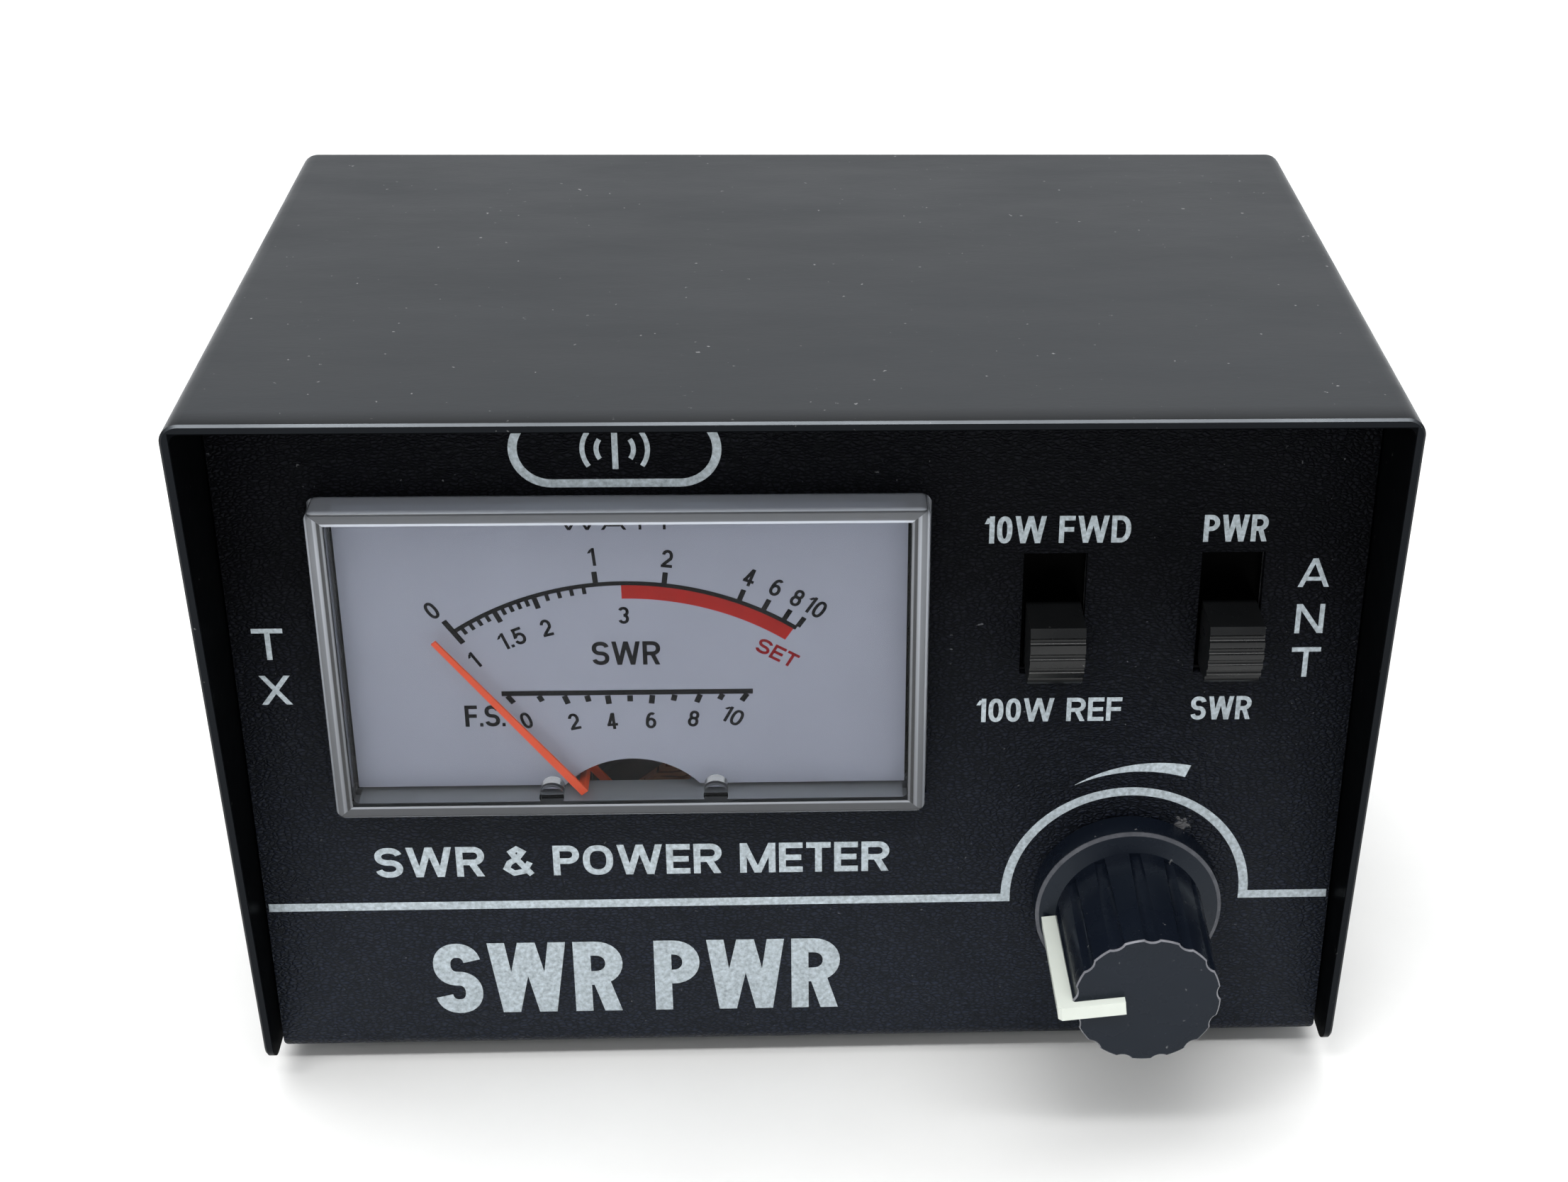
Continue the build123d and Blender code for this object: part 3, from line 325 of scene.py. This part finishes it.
def threaded_metal(name, color):
    """Nickel plate with turned thread rings along Y."""
    mat = surface(name, color, 0.28, 1.0, mottle=0.06, scale=150, grain=1500, bump=0.05)
    tree = mat.node_tree
    bsdf = tree.nodes["Principled BSDF"]
    rings = tree.nodes.new("ShaderNodeTexWave")
    rings.bands_direction = "Y"
    rings.inputs["Scale"].default_value = 150
    tree.links.new(place_axes(tree)[0], rings.inputs["Vector"])
    relief = tree.nodes.new("ShaderNodeBump")
    relief.inputs["Strength"].default_value = 1.0
    relief.inputs["Distance"].default_value = 0.35 * MM
    tree.links.new(rings.outputs["Color"], relief.inputs["Height"])
    tree.links.new(relief.outputs["Normal"], bsdf.inputs["Normal"])
    return mat


def clear_plastic(name):
    """Clear acrylic: open over the dial; the walls round it carry painted reflections as pale and dark
    lines, and painted shade that darkens them towards the bottom.
    """
    mat, tree, bsdf = shader(name)
    bsdf.inputs["IOR"].default_value = 1.45
    axes = place_axes(tree)[1]
    low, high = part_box("meter_cover")
    flange = 1.8 * MM
    depths = []
    for axis, first, last, wall in (("X", low.x, high.x, 1.85 * MM), ("Z", low.z, high.z, 1.55 * MM)):
        off = maths(tree, "ABSOLUTE", maths(tree, "SUBTRACT", axes[axis], (first + last) / 2), 0.0)
        deep = maths(tree, "SUBTRACT", (last - first) / 2 - flange, off)
        depths.append(maths(tree, "DIVIDE", deep, wall))
    across = maths(tree, "LESS_THAN", depths[0], 1.0)
    above = maths(tree, "LESS_THAN", depths[1], 1.0)
    wall = maths(tree, "MAXIMUM", across, above)
    # painted reflections: pale and dark bands by depth into each wall
    bands = []
    for depth, stops in (
        (depths[0], ((0, 0.80), (0.12, 0.80), (0.18, 0.26), (0.44, 0.30), (0.50, 0.66), (0.64, 0.50),
                     (0.70, 0.06), (0.84, 0.08), (0.90, 0.40), (1.0, 0.30))),
        (depths[1], ((0, 0.95), (0.12, 0.95), (0.18, 0.10), (0.32, 0.18), (0.80, 0.20), (0.86, 0.95),
                     (1.0, 0.95))),
    ):
        node = tree.nodes.new("ShaderNodeValToRGB")
        for place, value in stops[:-1]:
            spot = node.color_ramp.elements.new(place) if place else node.color_ramp.elements[0]
            spot.color = (value * 0.86, value * 0.91, value, 1)
        last_value = stops[-1][1]
        node.color_ramp.elements[-1].color = (last_value * 0.86, last_value * 0.91, last_value, 1)
        tree.links.new(depth, node.inputs["Fac"])
        bands.append(node.outputs["Color"])
    painted_wall_bands = mix(tree, maths(tree, "LESS_THAN", depths[1], depths[0]), bands[0], bands[1])
    # painted shade: the walls darken towards the bottom
    lit = ramp(tree, rescale(tree, axes["Z"], low.z, high.z, 0, 1), 0.1, 0.9, (0.5,) * 3, (1.0,) * 3)
    tree.links.new(mix(tree, wall, (0.96, 0.97, 0.98), multiply(tree, painted_wall_bands, lit)),
                   bsdf.inputs["Base Color"])
    tree.links.new(rescale(tree, wall, 0, 1, 1.0, 0.35), bsdf.inputs["Transmission Weight"])
    tree.links.new(rescale(tree, wall, 0, 1, 0.05, 0.4), bsdf.inputs["Specular IOR Level"])
    tree.links.new(ramp(tree, wall, 0, 1, (0.12,) * 3, (1, 1, 1)), bsdf.inputs["Specular Tint"])
    gloss = ramp(tree, noise(tree, 500, 5, 0.7), 0.55, 0.85, (0.0,) * 3, (0.05,) * 3)
    tree.links.new(gloss, bsdf.inputs["Roughness"])
    return mat


finishes = {
    "cover_paint": enamel("cover_paint", (0.0085, 0.0098, 0.0118)),
    # the chassis's two colours are painted shade: darker at the top, bluer and lighter at the bottom
    "chassis_paint": leather_paint("chassis_paint", (0.0032, 0.0032, 0.0044), (0.0075, 0.0095, 0.0165)),
    "black_steel": surface("black_steel", (0.03, 0.03, 0.032), 0.4),
    "rubber": surface("rubber", (0.02, 0.02, 0.02), 0.75, grain=1800, bump=0.3),
    "clear_acrylic": clear_plastic("clear_acrylic"),
    "black_plastic": moulded_black("black_plastic", (0.006, 0.0065, 0.007)),
    "dial_paint": surface("dial_paint", (0.40, 0.42, 0.505), 0.65, mottle=0.04, scale=60,
                          bump=0.05, shine=0.2),
    "brass": surface("brass", (0.72, 0.52, 0.24), 0.3, 1.0),
    "tinned": surface("tinned", (0.7, 0.7, 0.7), 0.35, 1.0),
    "soft_iron": surface("soft_iron", (0.42, 0.42, 0.44), 0.4, 1.0),
    "magnet": surface("magnet", (0.16, 0.16, 0.17), 0.5, 0.8, grain=1600, bump=0.3),
    "bare_aluminium": surface("bare_aluminium", (0.76, 0.76, 0.78), 0.35, 1.0, stretch=(1, 12, 1)),
    "copper_wire": surface("copper_wire", (0.5, 0.16, 0.06), 0.3, 0.6, stretch=(1, 1, 18), bump=0.5),
    "copper": surface("copper", (0.75, 0.38, 0.24), 0.3, 1.0),
    "bronze": surface("bronze", (0.62, 0.42, 0.22), 0.3, 1.0),
    "needle_paint": surface("needle_paint", (0.95, 0.10, 0.025), 0.5, mottle=0.05),
    "zinc_steel": surface("zinc_steel", (0.62, 0.63, 0.66), 0.35, 1.0, mottle=0.15, scale=260),
    "phenolic": surface("phenolic", (0.22, 0.11, 0.05), 0.5, stretch=(1, 1, 5), scale=200),
    "nickel": threaded_metal("nickel", (0.72, 0.70, 0.66)),
    "knob_plastic": edged_black("knob_plastic", (0.0045, 0.0065, 0.0115)),
    "white_plastic": surface("white_plastic", (0.66, 0.70, 0.64), 0.35, mottle=0.04),
    "board_laminate": surface("board_laminate", (0.03, 0.16, 0.07), 0.4, stretch=(1, 1, 3), scale=300),
    "glass_orange": surface("glass_orange", (0.6, 0.2, 0.06), 0.12, coat=1.0),
    "resistor_coat": surface("resistor_coat", (0.62, 0.46, 0.28), 0.45),
    "ceramic": surface("ceramic", (0.62, 0.27, 0.06), 0.5),
    "trimmer_blue": surface("trimmer_blue", (0.03, 0.12, 0.42), 0.3),
    "wire_red": surface("wire_red", (0.5, 0.02, 0.015), 0.4),
    "wire_blue": surface("wire_blue", (0.03, 0.09, 0.4), 0.4),
    "white_insulator": surface("white_insulator", (0.78, 0.77, 0.72), 0.5),
}
for part in frame["record"]["subparts"]:
    mesh = nodes[part["node"]].data
    mesh.materials.clear()
    mesh.materials.append(finishes[part["material_slot"]])

ink = surface("panel_ink", (0.40, 0.455, 0.49), 0.55, mottle=0.35, scale=2200, bump=0.3, shine=0.3)
dial_ink = surface("dial_ink", (0.004, 0.004, 0.006), 0.6, mottle=0.1, scale=500, shine=0.1)
dial_red = surface("dial_red", (0.44, 0.016, 0.013), 0.6, mottle=0.1, scale=500, shine=0.1)
dial_dark_red = surface("dial_dark_red", (0.26, 0.006, 0.010), 0.6, mottle=0.1, scale=500, shine=0.1)


# ---------------------------------------------------------------- flat printing
def flat_piece(name, faces, level, mat, body="case"):
    """Printing on a plane facing -Y: faces are lists of (x, z) in millimetres."""
    verts = []
    polys = []
    for outline in faces:
        first = len(verts)
        verts.extend((x * MM, level, z * MM) for x, z in outline)
        polys.append(list(range(first, first + len(outline))))
    mesh = bpy.data.meshes.new(name)
    mesh.from_pydata(verts, [], polys)
    mesh.materials.append(mat)
    piece = bpy.data.objects.new(name, mesh)
    bpy.context.scene.collection.objects.link(piece)
    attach(piece, body)
    return piece


def arc_band(cx, cz, inner, outer, start, end, steps=64):
    """Quads of a ring sector; start and end are degrees clockwise from upright.

    inner and outer are radii or (first, last) pairs that change along the arc."""
    inner = inner if isinstance(inner, tuple) else (inner, inner)
    outer = outer if isinstance(outer, tuple) else (outer, outer)
    quads = []
    for k in range(steps):
        corners = []
        for t, pair in ((k, inner), (k + 1, inner), (k + 1, outer), (k, outer)):
            share = t / steps
            reach = pair[0] + (pair[1] - pair[0]) * share
            turn = math.radians(start + (end - start) * share)
            corners.append((cx + reach * math.sin(turn), cz + reach * math.cos(turn)))
        quads.append(corners)
    return quads


def tick(cx, cz, inner, outer, degrees, width):
    turn = math.radians(degrees)
    out = Vector((math.sin(turn), math.cos(turn)))
    side = Vector((out.y, -out.x)) * width / 2
    middle = Vector((cx, cz))
    return [tuple(middle + out * inner - side), tuple(middle + out * inner + side),
            tuple(middle + out * outer + side), tuple(middle + out * outer - side)]


def box_face(x0, x1, z0, z1):
    return [(x0, z0), (x1, z0), (x1, z1), (x0, z1)]


def curve_points(cx, cz, rx, rz, first, last, steps=20, square=2.35):
    """Points of a slightly squared ellipse; angles in degrees anticlockwise from +x."""
    spots = []
    for k in range(steps + 1):
        turn = math.radians(first + (last - first) * k / steps)
        c, n = math.cos(turn), math.sin(turn)
        spots.append((cx + rx * math.copysign(abs(c) ** (2 / square), c),
                      cz + rz * math.copysign(abs(n) ** (2 / square), n)))
    return spots


def stroke(path, thick, closed=False):
    """Quads of a mitred line of even thickness."""
    spots = []
    for p in map(Vector, path):
        if not spots or (p - spots[-1]).length > 1e-4:
            spots.append(p)
    count = len(spots)
    edges = []
    for k, here in enumerate(spots):
        back = spots[k - 1] if k or closed else None
        ahead = spots[(k + 1) % count] if k < count - 1 or closed else None
        into = (here - back).normalized() if back is not None else (ahead - here).normalized()
        out = (ahead - here).normalized() if ahead is not None else into
        normal = Vector((-into.y - out.y, into.x + out.x)).normalized()
        reach = thick / 2 / max(0.5, normal.dot(Vector((-into.y, into.x))))
        edges.append((here - normal * reach, here + normal * reach))
    pairs = list(zip(edges, edges[1:] + ([edges[0]] if closed else [])))
    return [[tuple(a[0]), tuple(b[0]), tuple(b[1]), tuple(a[1])] for a, b in pairs]


def slant(x0, z0, x1, z1, thick):
    """A slanted limb cut level at both ends."""
    half = thick / 2 * math.hypot(x1 - x0, z1 - z0) / abs(z1 - z0)
    return [[(x0 - half, z0), (x0 + half, z0), (x1 + half, z1), (x1 - half, z1)]]


LETTER_WIDTHS = {
    "W": 1.16, "M": 0.90, "&": 0.80, "S": 0.69, "P": 0.66, "R": 0.71, "O": 0.76, "E": 0.60,
    "T": 0.62, "F": 0.58, "D": 0.71, "A": 0.74, "N": 0.70, "X": 0.70, "1": 0.38, ".": 0.15, " ": 0.28,
}


def glyph(sign, w, t):
    """Shapes of one sign in a cell w wide and 1 high, with limbs t thick."""
    h = t / 2
    right, top, mid = w - h, 1 - h, 0.5
    bowl = (top - mid + 0.02) / 2
    if sign in "EF":
        shapes = [box_face(0, t, 0, 1), box_face(t, w, 1 - t, 1),
                  box_face(t, w * 0.94, mid - h, mid + h)]
        return shapes + ([box_face(t, w, 0, t)] if sign == "E" else [])
    if sign == "T":
        return [box_face(0, w, 1 - t, 1), box_face(w / 2 - h, w / 2 + h, 0, 1 - t)]
    if sign in "PR":
        low = top - 2 * bowl
        loop = [(t * 0.9, top), (right - bowl, top)]
        loop += curve_points(right - bowl, top - bowl, bowl, bowl, 90, -90, 14, 2.1)
        loop += [(t * 0.9, low)]
        shapes = [box_face(0, t, 0, 1)] + stroke(loop, t)
        if sign == "R":
            shapes += slant(w * 0.56, low - h * 0.5, w - h * 1.25, 0, t * 0.98)
        return shapes
    if sign == "D":
        loop = [(t * 0.9, top), (w * 0.45, top)]
        loop += curve_points(w * 0.45, 0.5, right - w * 0.45, top - 0.5, 90, -90, 24, 2.2)
        loop += [(t * 0.9, h)]
        return [box_face(0, t, 0, 1)] + stroke(loop, t)
    if sign in "O0":
        return stroke(curve_points(w / 2, 0.5, w / 2 - h, 0.5 - h, 0, 360, 40)[:-1], t, True)
    if sign == "S":
        tall = (1 - 2 * h) / 4
        path = curve_points(w / 2, top - tall, w / 2 - h, tall, 12, 270, 24, 2.2)
        path += curve_points(w / 2, h + tall, w / 2 - h, tall, 90, -168, 24, 2.2)[1:]
        return stroke(path, t)
    if sign == "W":
        a = h * 1.12
        return (slant(a, 1, w * 0.27, 0, t) + slant(w * 0.27, 0, w / 2, 1, t)
                + slant(w / 2, 1, w * 0.73, 0, t) + slant(w * 0.73, 0, w - a, 1, t))
    if sign == "M":
        return ([box_face(0, t, 0, 1), box_face(w - t, w, 0, 1)]
                + slant(h * 1.05, 1, w / 2, 0, t * 0.95) + slant(w - h * 1.05, 1, w / 2, 0, t * 0.95))
    if sign == "N":
        return [box_face(0, t, 0, 1), box_face(w - t, w, 0, 1)] + slant(h * 1.1, 1, w - h * 1.1, 0, t)
    if sign == "A":
        return (slant(h * 1.1, 0, w / 2, 1, t) + slant(w - h * 1.1, 0, w / 2, 1, t)
                + [box_face(w * 0.24, w * 0.76, 0.22, 0.22 + t * 0.9)])
    if sign == "X":
        return slant(h * 1.2, 0, w - h * 1.2, 1, t) + slant(h * 1.2, 1, w - h * 1.2, 0, t)
    if sign == "&":
        path = [(right, h * 0.4), (w * 0.40, 0.60), (w * 0.27, 0.80), (w * 0.44, top), (w * 0.62, 0.80),
                (w * 0.46, 0.60), (w * 0.2, 0.44), (h, 0.26), (w * 0.34, h), (w * 0.66, 0.16),
                (w * 0.84, 0.46)]
        return stroke(path, t * 0.92)
    if sign == "1":
        return [box_face(w - t, w, 0, 1)] + slant(h, 0.72, w - t, 0.93, t * 0.75)
    if sign == "2":
        path = curve_points(w / 2, top - 0.27, w / 2 - h, 0.27, 168, -30, 22, 2.1)
        return stroke(path + [(h * 1.3, t * 0.9)], t) + [box_face(0, w, 0, t)]
    if sign == "3":
        tall = (1 - 2 * h) / 4
        path = curve_points(w / 2, top - tall, w / 2 - h, tall, 158, -90, 20, 2.1)
        lower = curve_points(w / 2, h + tall, w / 2 - h, tall, 90, -162, 20, 2.1)
        return stroke(path, t) + stroke(lower, t)
    if sign == "4":
        return (slant(w * 0.60, 1, h * 1.1, 0.28, t) + [box_face(0, w, 0.20, 0.20 + t)]
                + [box_face(w * 0.78 - t, w * 0.78, 0, 1)])
    if sign == "5":
        bowl_path = [(h * 1.2, 0.46)]
        bowl_path += curve_points(w / 2, h + 0.27, w / 2 - h, 0.27, 105, -165, 22, 2.1)
        return ([box_face(w * 0.12, w * 0.92, 1 - t, 1)] + stroke(bowl_path, t)
                + slant(h * 1.2, 0.42, w * 0.16 + h, 1 - h, t * 0.9))
    if sign == "6":
        ring = stroke(curve_points(w / 2, h + 0.25, w / 2 - h, 0.25, 0, 360, 28, 2.1)[:-1], t, True)
        stem = curve_points(w * 0.55, 0.42, w * 0.55 - h, top - 0.42, 62, 182, 20, 2.1)
        return ring + stroke(stem, t)
    if sign == "8":
        ring = stroke(curve_points(w / 2, h + 0.23, w / 2 - h, 0.23, 0, 360, 28, 2.1)[:-1], t, True)
        upper = curve_points(w / 2, top - 0.20, w * 0.46 - h, 0.20, 0, 360, 28, 2.1)[:-1]
        return ring + stroke(upper, t, True)
    if sign == ".":
        return [box_face(0, w, 0, t)]
    return []


def lettering(name, text, x, z, cap, width, level, mat, turn=0.0, weight=0.19, back=False):
    """Text centred on (x, z), cap millimetres high and width wide, turned anticlockwise.

    Overlapping limbs lie a hair apart so that no two faces share a plane."""
    gap = 0.09
    widths = [LETTER_WIDTHS.get(sign, 0.56) for sign in text]
    natural = sum(widths) + gap * (len(text) - 1)
    squeeze = width / cap / natural if width else 1.0
    angle = math.radians(turn)
    verts = []
    polys = []
    pen = -natural * squeeze / 2
    for sign, wide in zip(text, widths):
        for layer, outline in enumerate(glyph(sign, wide * squeeze, weight)):
            first = len(verts)
            for px, pz in outline:
                u = (pen + px) * cap
                v = (pz - 0.5) * cap
                across = u * math.cos(angle) - v * math.sin(angle)
                up = u * math.sin(angle) + v * math.cos(angle)
                lift = 0.0008 * (layer % 12) * MM
                verts.append(((x + (-across if back else across)) * MM,
                              level + (lift if back else -lift), (z + up) * MM))
            polys.append(list(range(first, first + len(outline))))
        pen += (wide + gap) * squeeze
    mesh = bpy.data.meshes.new(name)
    mesh.from_pydata(verts, [], polys)
    mesh.materials.append(mat)
    piece = bpy.data.objects.new(name, mesh)
    bpy.context.scene.collection.objects.link(piece)
    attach(piece, "case")
    return piece


PRINT_Y = PANEL_Y - 0.03 * MM
panel_words = (
    # name, text, centre x, centre z, cap height, width, limb thickness
    ("legend_forward", "10W FWD", 26.3, 67.85, 3.1, 15.1, 0.17),
    ("legend_power", "PWR", 44.68, 67.85, 3.1, 6.65, 0.17),
    ("legend_reflected", "100W REF", 26.3, 46.35, 2.9, 15.6, 0.17),
    ("legend_ratio", "SWR", 44.75, 46.35, 2.9, 6.5, 0.17),
    ("legend_t", "T", -54.9, 55.25, 3.7, 3.2, 0.15),
    ("legend_x", "X", -54.7, 49.75, 3.5, 3.2, 0.15),
    ("legend_a", "A", 53.3, 62.6, 3.35, 3.3, 0.15),
    ("legend_n", "N", 53.3, 57.15, 3.5, 3.0, 0.15),
    ("legend_t2", "T", 53.3, 51.9, 3.6, 3.1, 0.15),
    ("legend_title", "SWR & POWER METER", -18.45, 27.85, 3.9, 55.9, 0.19),
    ("legend_large", "SWR PWR", -18.55, 12.1, 9.6, 45.3, 0.20),
)
for name, text, x, z, cap, width, weight in panel_words:
    lettering(name, text, x, z, cap, width, PRINT_Y, ink, weight=weight)

ring_inner, line_width, line_end = 12.77, 1.03, 58.4
ring_outer = ring_inner + line_width
flat_piece("panel_lines", [
    box_face(-line_end, KNOB_X - ring_inner, KNOB_Z - line_width, KNOB_Z),
    box_face(KNOB_X + ring_inner, line_end, KNOB_Z - line_width, KNOB_Z),
    *arc_band(KNOB_X, KNOB_Z, ring_inner, ring_outer, -90, 90),
    *arc_band(KNOB_X, KNOB_Z, (15.45, 16.1), (15.5, 17.7), -23.6, 21.0, 24),
], PRINT_Y, ink)

# a plain rounded frame with a wave sign
badge_x, badge_z, badge_half, badge_r, badge_line = -18.4, 77.2, 6.4, 4.2, 0.9
badge = []
for side, first in ((-1, -180), (1, 0)):
    badge += arc_band(badge_x + side * badge_half, badge_z, badge_r - badge_line, badge_r,
                      first, first + 180, 24)
for low in (badge_z - badge_r, badge_z + badge_r - badge_line):
    badge.append(box_face(badge_x - badge_half, badge_x + badge_half, low, low + badge_line))
for reach in (1.6, 3.0):
    for turn in (-90, 90):
        badge += arc_band(badge_x, badge_z, reach, reach + 0.5, turn - 35, turn + 35, 12)
badge.append(box_face(badge_x - 0.3, badge_x + 0.3, badge_z - 2.2, badge_z + 2.2))
flat_piece("panel_badge", badge, PRINT_Y, ink)

# ---------------------------------------------------------------- dial printing
dial_print = DIAL_Y - 0.02 * MM
arc_x, arc_z, arc_r = METER_X, 30.8, 31.2
black = arc_band(arc_x, arc_z, arc_r - 0.24, arc_r + 0.24, -34.7, 34.4)
black.append(tick(arc_x, arc_z, arc_r - 1.6, arc_r + 1.6, -34.7, 0.6))
for degrees in (-5.3, 7.5, 22.0, 27.0, 31.4, 34.4):
    black.append(tick(arc_x, arc_z, arc_r + 0.24, arc_r + 1.5, degrees, 0.55))
for degrees in (-25.6, -17.4):
    black.append(tick(arc_x, arc_z, arc_r - 1.5, arc_r - 0.24, degrees, 0.55))
for first, last in ((-34.7, -25.6), (-25.6, -17.4), (-17.4, -5.3)):
    for part in range(1, 5):
        degrees = first + (last - first) * part / 5
        black.append(tick(arc_x, arc_z, arc_r - 0.95, arc_r - 0.24, degrees, 0.42))
scale_z = 49.0
black.append(box_face(-31.4, -5.1, scale_z - 0.3, scale_z + 0.3))
big_marks = (-31.0, -25.0, -20.4, -15.6, -10.5, -5.5)
small_marks = (-27.7, -22.6, -18.0, -13.2, -8.1)
for marks, length in ((big_marks, 1.1), (small_marks, 0.8)):
    for x in marks:
        degrees = math.degrees(math.atan2(x - arc_x, scale_z - arc_z))
        reach = math.hypot(x - arc_x, scale_z - arc_z)
        black.append(tick(arc_x, arc_z, reach - length - 0.3, reach - 0.35, degrees, 0.6))
flat_piece("dial_lines", black, dial_print, dial_ink)
flat_piece("dial_red_band", arc_band(arc_x, arc_z, arc_r - 1.8, arc_r - 0.2, -0.6, 34.0),
           dial_print + 0.005 * MM, dial_red)

dial_words = (
    # name, text, centre x, centre z, cap height, width, degrees anticlockwise
    ("upper_0", "0", -37.9, 59.0, 2.05, None, 33),
    ("upper_1", "1", -21.3, 65.05, 2.05, None, 5),
    ("upper_2", "2", -13.6, 64.8, 2.05, None, -7),
    ("upper_4", "4", -5.2, 62.55, 2.05, None, -22),
    ("upper_6", "6", -2.5, 61.35, 2.05, None, -27),
    ("upper_8", "8", -0.35, 60.1, 2.05, None, -31),
    ("upper_10", "10", 1.5, 59.0, 2.05, 2.2, -34),
    ("lower_1", "1", -34.0, 53.05, 2.0, None, 33),
    ("lower_1_5", "1.5", -29.95, 55.6, 2.0, 2.9, 22),
    ("lower_2", "2", -26.3, 56.85, 2.0, None, 15),
    ("lower_3", "3", -18.3, 58.25, 2.0, None, 0),
    ("dial_ratio", "SWR", -18.2, 53.75, 2.8, 7.1, 0),
    ("dial_full", "F.S.", -33.3, 46.3, 2.6, 4.2, 0),
    ("row_0", "0", -29.0, 45.7, 2.0, None, 20),
    ("row_2", "2", -24.0, 45.5, 2.0, None, 12),
    ("row_4", "4", -20.0, 45.5, 2.0, None, 5),
    ("row_6", "6", -15.9, 45.55, 2.0, None, -3),
    ("row_8", "8", -11.4, 45.7, 2.0, None, -12),
    ("row_10", "10", -7.3, 46.0, 2.0, 2.3, -28),
    ("dial_unit", "WATT", -18.6, 69.0, 1.7, 11.8, 0),
)
for name, text, x, z, cap, width, turn in dial_words:
    lettering(name, text, x, z, cap, width, dial_print, dial_ink, turn, 0.165)
lettering("dial_set", "SET", -2.5, 53.6, 1.75, 4.6, dial_print, dial_dark_red, -30, 0.185)

# ---------------------------------------------------------------- rear printing
rear_print = REAR_Y + 0.03 * MM
for name, text, socket in (("rear_tx", "TX", "tx_socket_shell"),
                           ("rear_ant", "ANT", "antenna_socket_shell")):
    low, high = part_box(socket)
    lettering(name, text, (low.x + high.x) / 2 / MM, high.z / MM + 5, 3.6,
                      3.0 * len(text), rear_print, ink, back=True)

# ---------------------------------------------------------------- floor, light, camera
floor_mesh = bpy.data.meshes.new("floor")
floor_mesh.from_pydata([(-6, -6, 0), (6, -6, 0), (6, 6, 0), (-6, 6, 0)], [], [(0, 1, 2, 3)])
floor = bpy.data.objects.new("floor", floor_mesh)
bpy.context.scene.collection.objects.link(floor)
paper, tree, bsdf = shader("paper")
tree.links.new(ramp(tree, noise(tree, 30, 5), 0.3, 0.7, (0.80, 0.80, 0.79), (0.84, 0.84, 0.83)),
               bsdf.inputs["Base Color"])
bsdf.inputs["Roughness"].default_value = 0.8
floor_mesh.materials.append(paper)
floor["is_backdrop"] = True

world = bpy.data.worlds.new("studio")
world.use_nodes = True
tree = world.node_tree
place = tree.nodes.new("ShaderNodeTexCoord")
split = tree.nodes.new("ShaderNodeSeparateXYZ")
tree.links.new(place.outputs["Generated"], split.inputs[0])
fade = tree.nodes.new("ShaderNodeMapRange")
fade.inputs["From Min"].default_value = -0.3
fade.inputs["From Max"].default_value = 0.6
fade.inputs["To Min"].default_value = 0.38
fade.inputs["To Max"].default_value = 0.75
tree.links.new(split.outputs["Y"], fade.inputs["Value"])
tree.links.new(fade.outputs["Result"], tree.nodes["Background"].inputs["Strength"])
tree.nodes["Background"].inputs["Color"].default_value = (0.96, 0.98, 1.0, 1)
bpy.context.scene.world = world


def softbox(name, location, target, size, power):
    light = bpy.data.lights.new(name, "AREA")
    light.shape = "RECTANGLE"
    light.size, light.size_y = size
    light.energy = power
    lamp = bpy.data.objects.new(name, light)
    lamp.location = location
    lamp.rotation_mode = "QUATERNION"
    lamp.rotation_quaternion = (Vector(target) - Vector(location)).to_track_quat("-Z", "Y")
    bpy.context.scene.collection.objects.link(lamp)
    lamp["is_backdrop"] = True


softbox("overhead", (-0.1, 0.12, 1.1), (0, -0.05, 0), (1.5, 1.1), 15)
softbox("edge_strip", (0, -0.55, 1.0), (0, -0.04, 0.08), (1.4, 0.12), 8)
softbox("front_fill", (-0.5, -1.2, 0.9), (0, 0, 0.04), (0.6, 0.5), 3.5)

yaw, pitch, roll = 0.054, 0.495, -0.017
ahead = Vector((math.sin(yaw) * math.cos(pitch), math.cos(yaw) * math.cos(pitch), -math.sin(pitch)))
right = Vector((math.cos(yaw), -math.sin(yaw), 0))
down = ahead.cross(right)
level_right = math.cos(roll) * right + math.sin(roll) * down
level_down = -math.sin(roll) * right + math.cos(roll) * down
camera_data = bpy.data.cameras.new("camera")
camera_data.sensor_width = 36
camera_data.sensor_fit = "HORIZONTAL"
camera_data.lens = 56.21
camera_data.shift_x = -0.0802
camera_data.clip_start = 0.01
camera_data.clip_end = 50
camera = bpy.data.objects.new("camera", camera_data)
axes = Matrix((level_right, -level_down, -ahead)).transposed().to_4x4()
camera.matrix_world = Matrix.Translation((-0.758 * MM, -251.87 * MM, 181.0 * MM)) @ axes
bpy.context.scene.collection.objects.link(camera)
bpy.context.scene.camera = camera
bpy.context.scene.view_settings.view_transform = "Standard"

low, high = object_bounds()
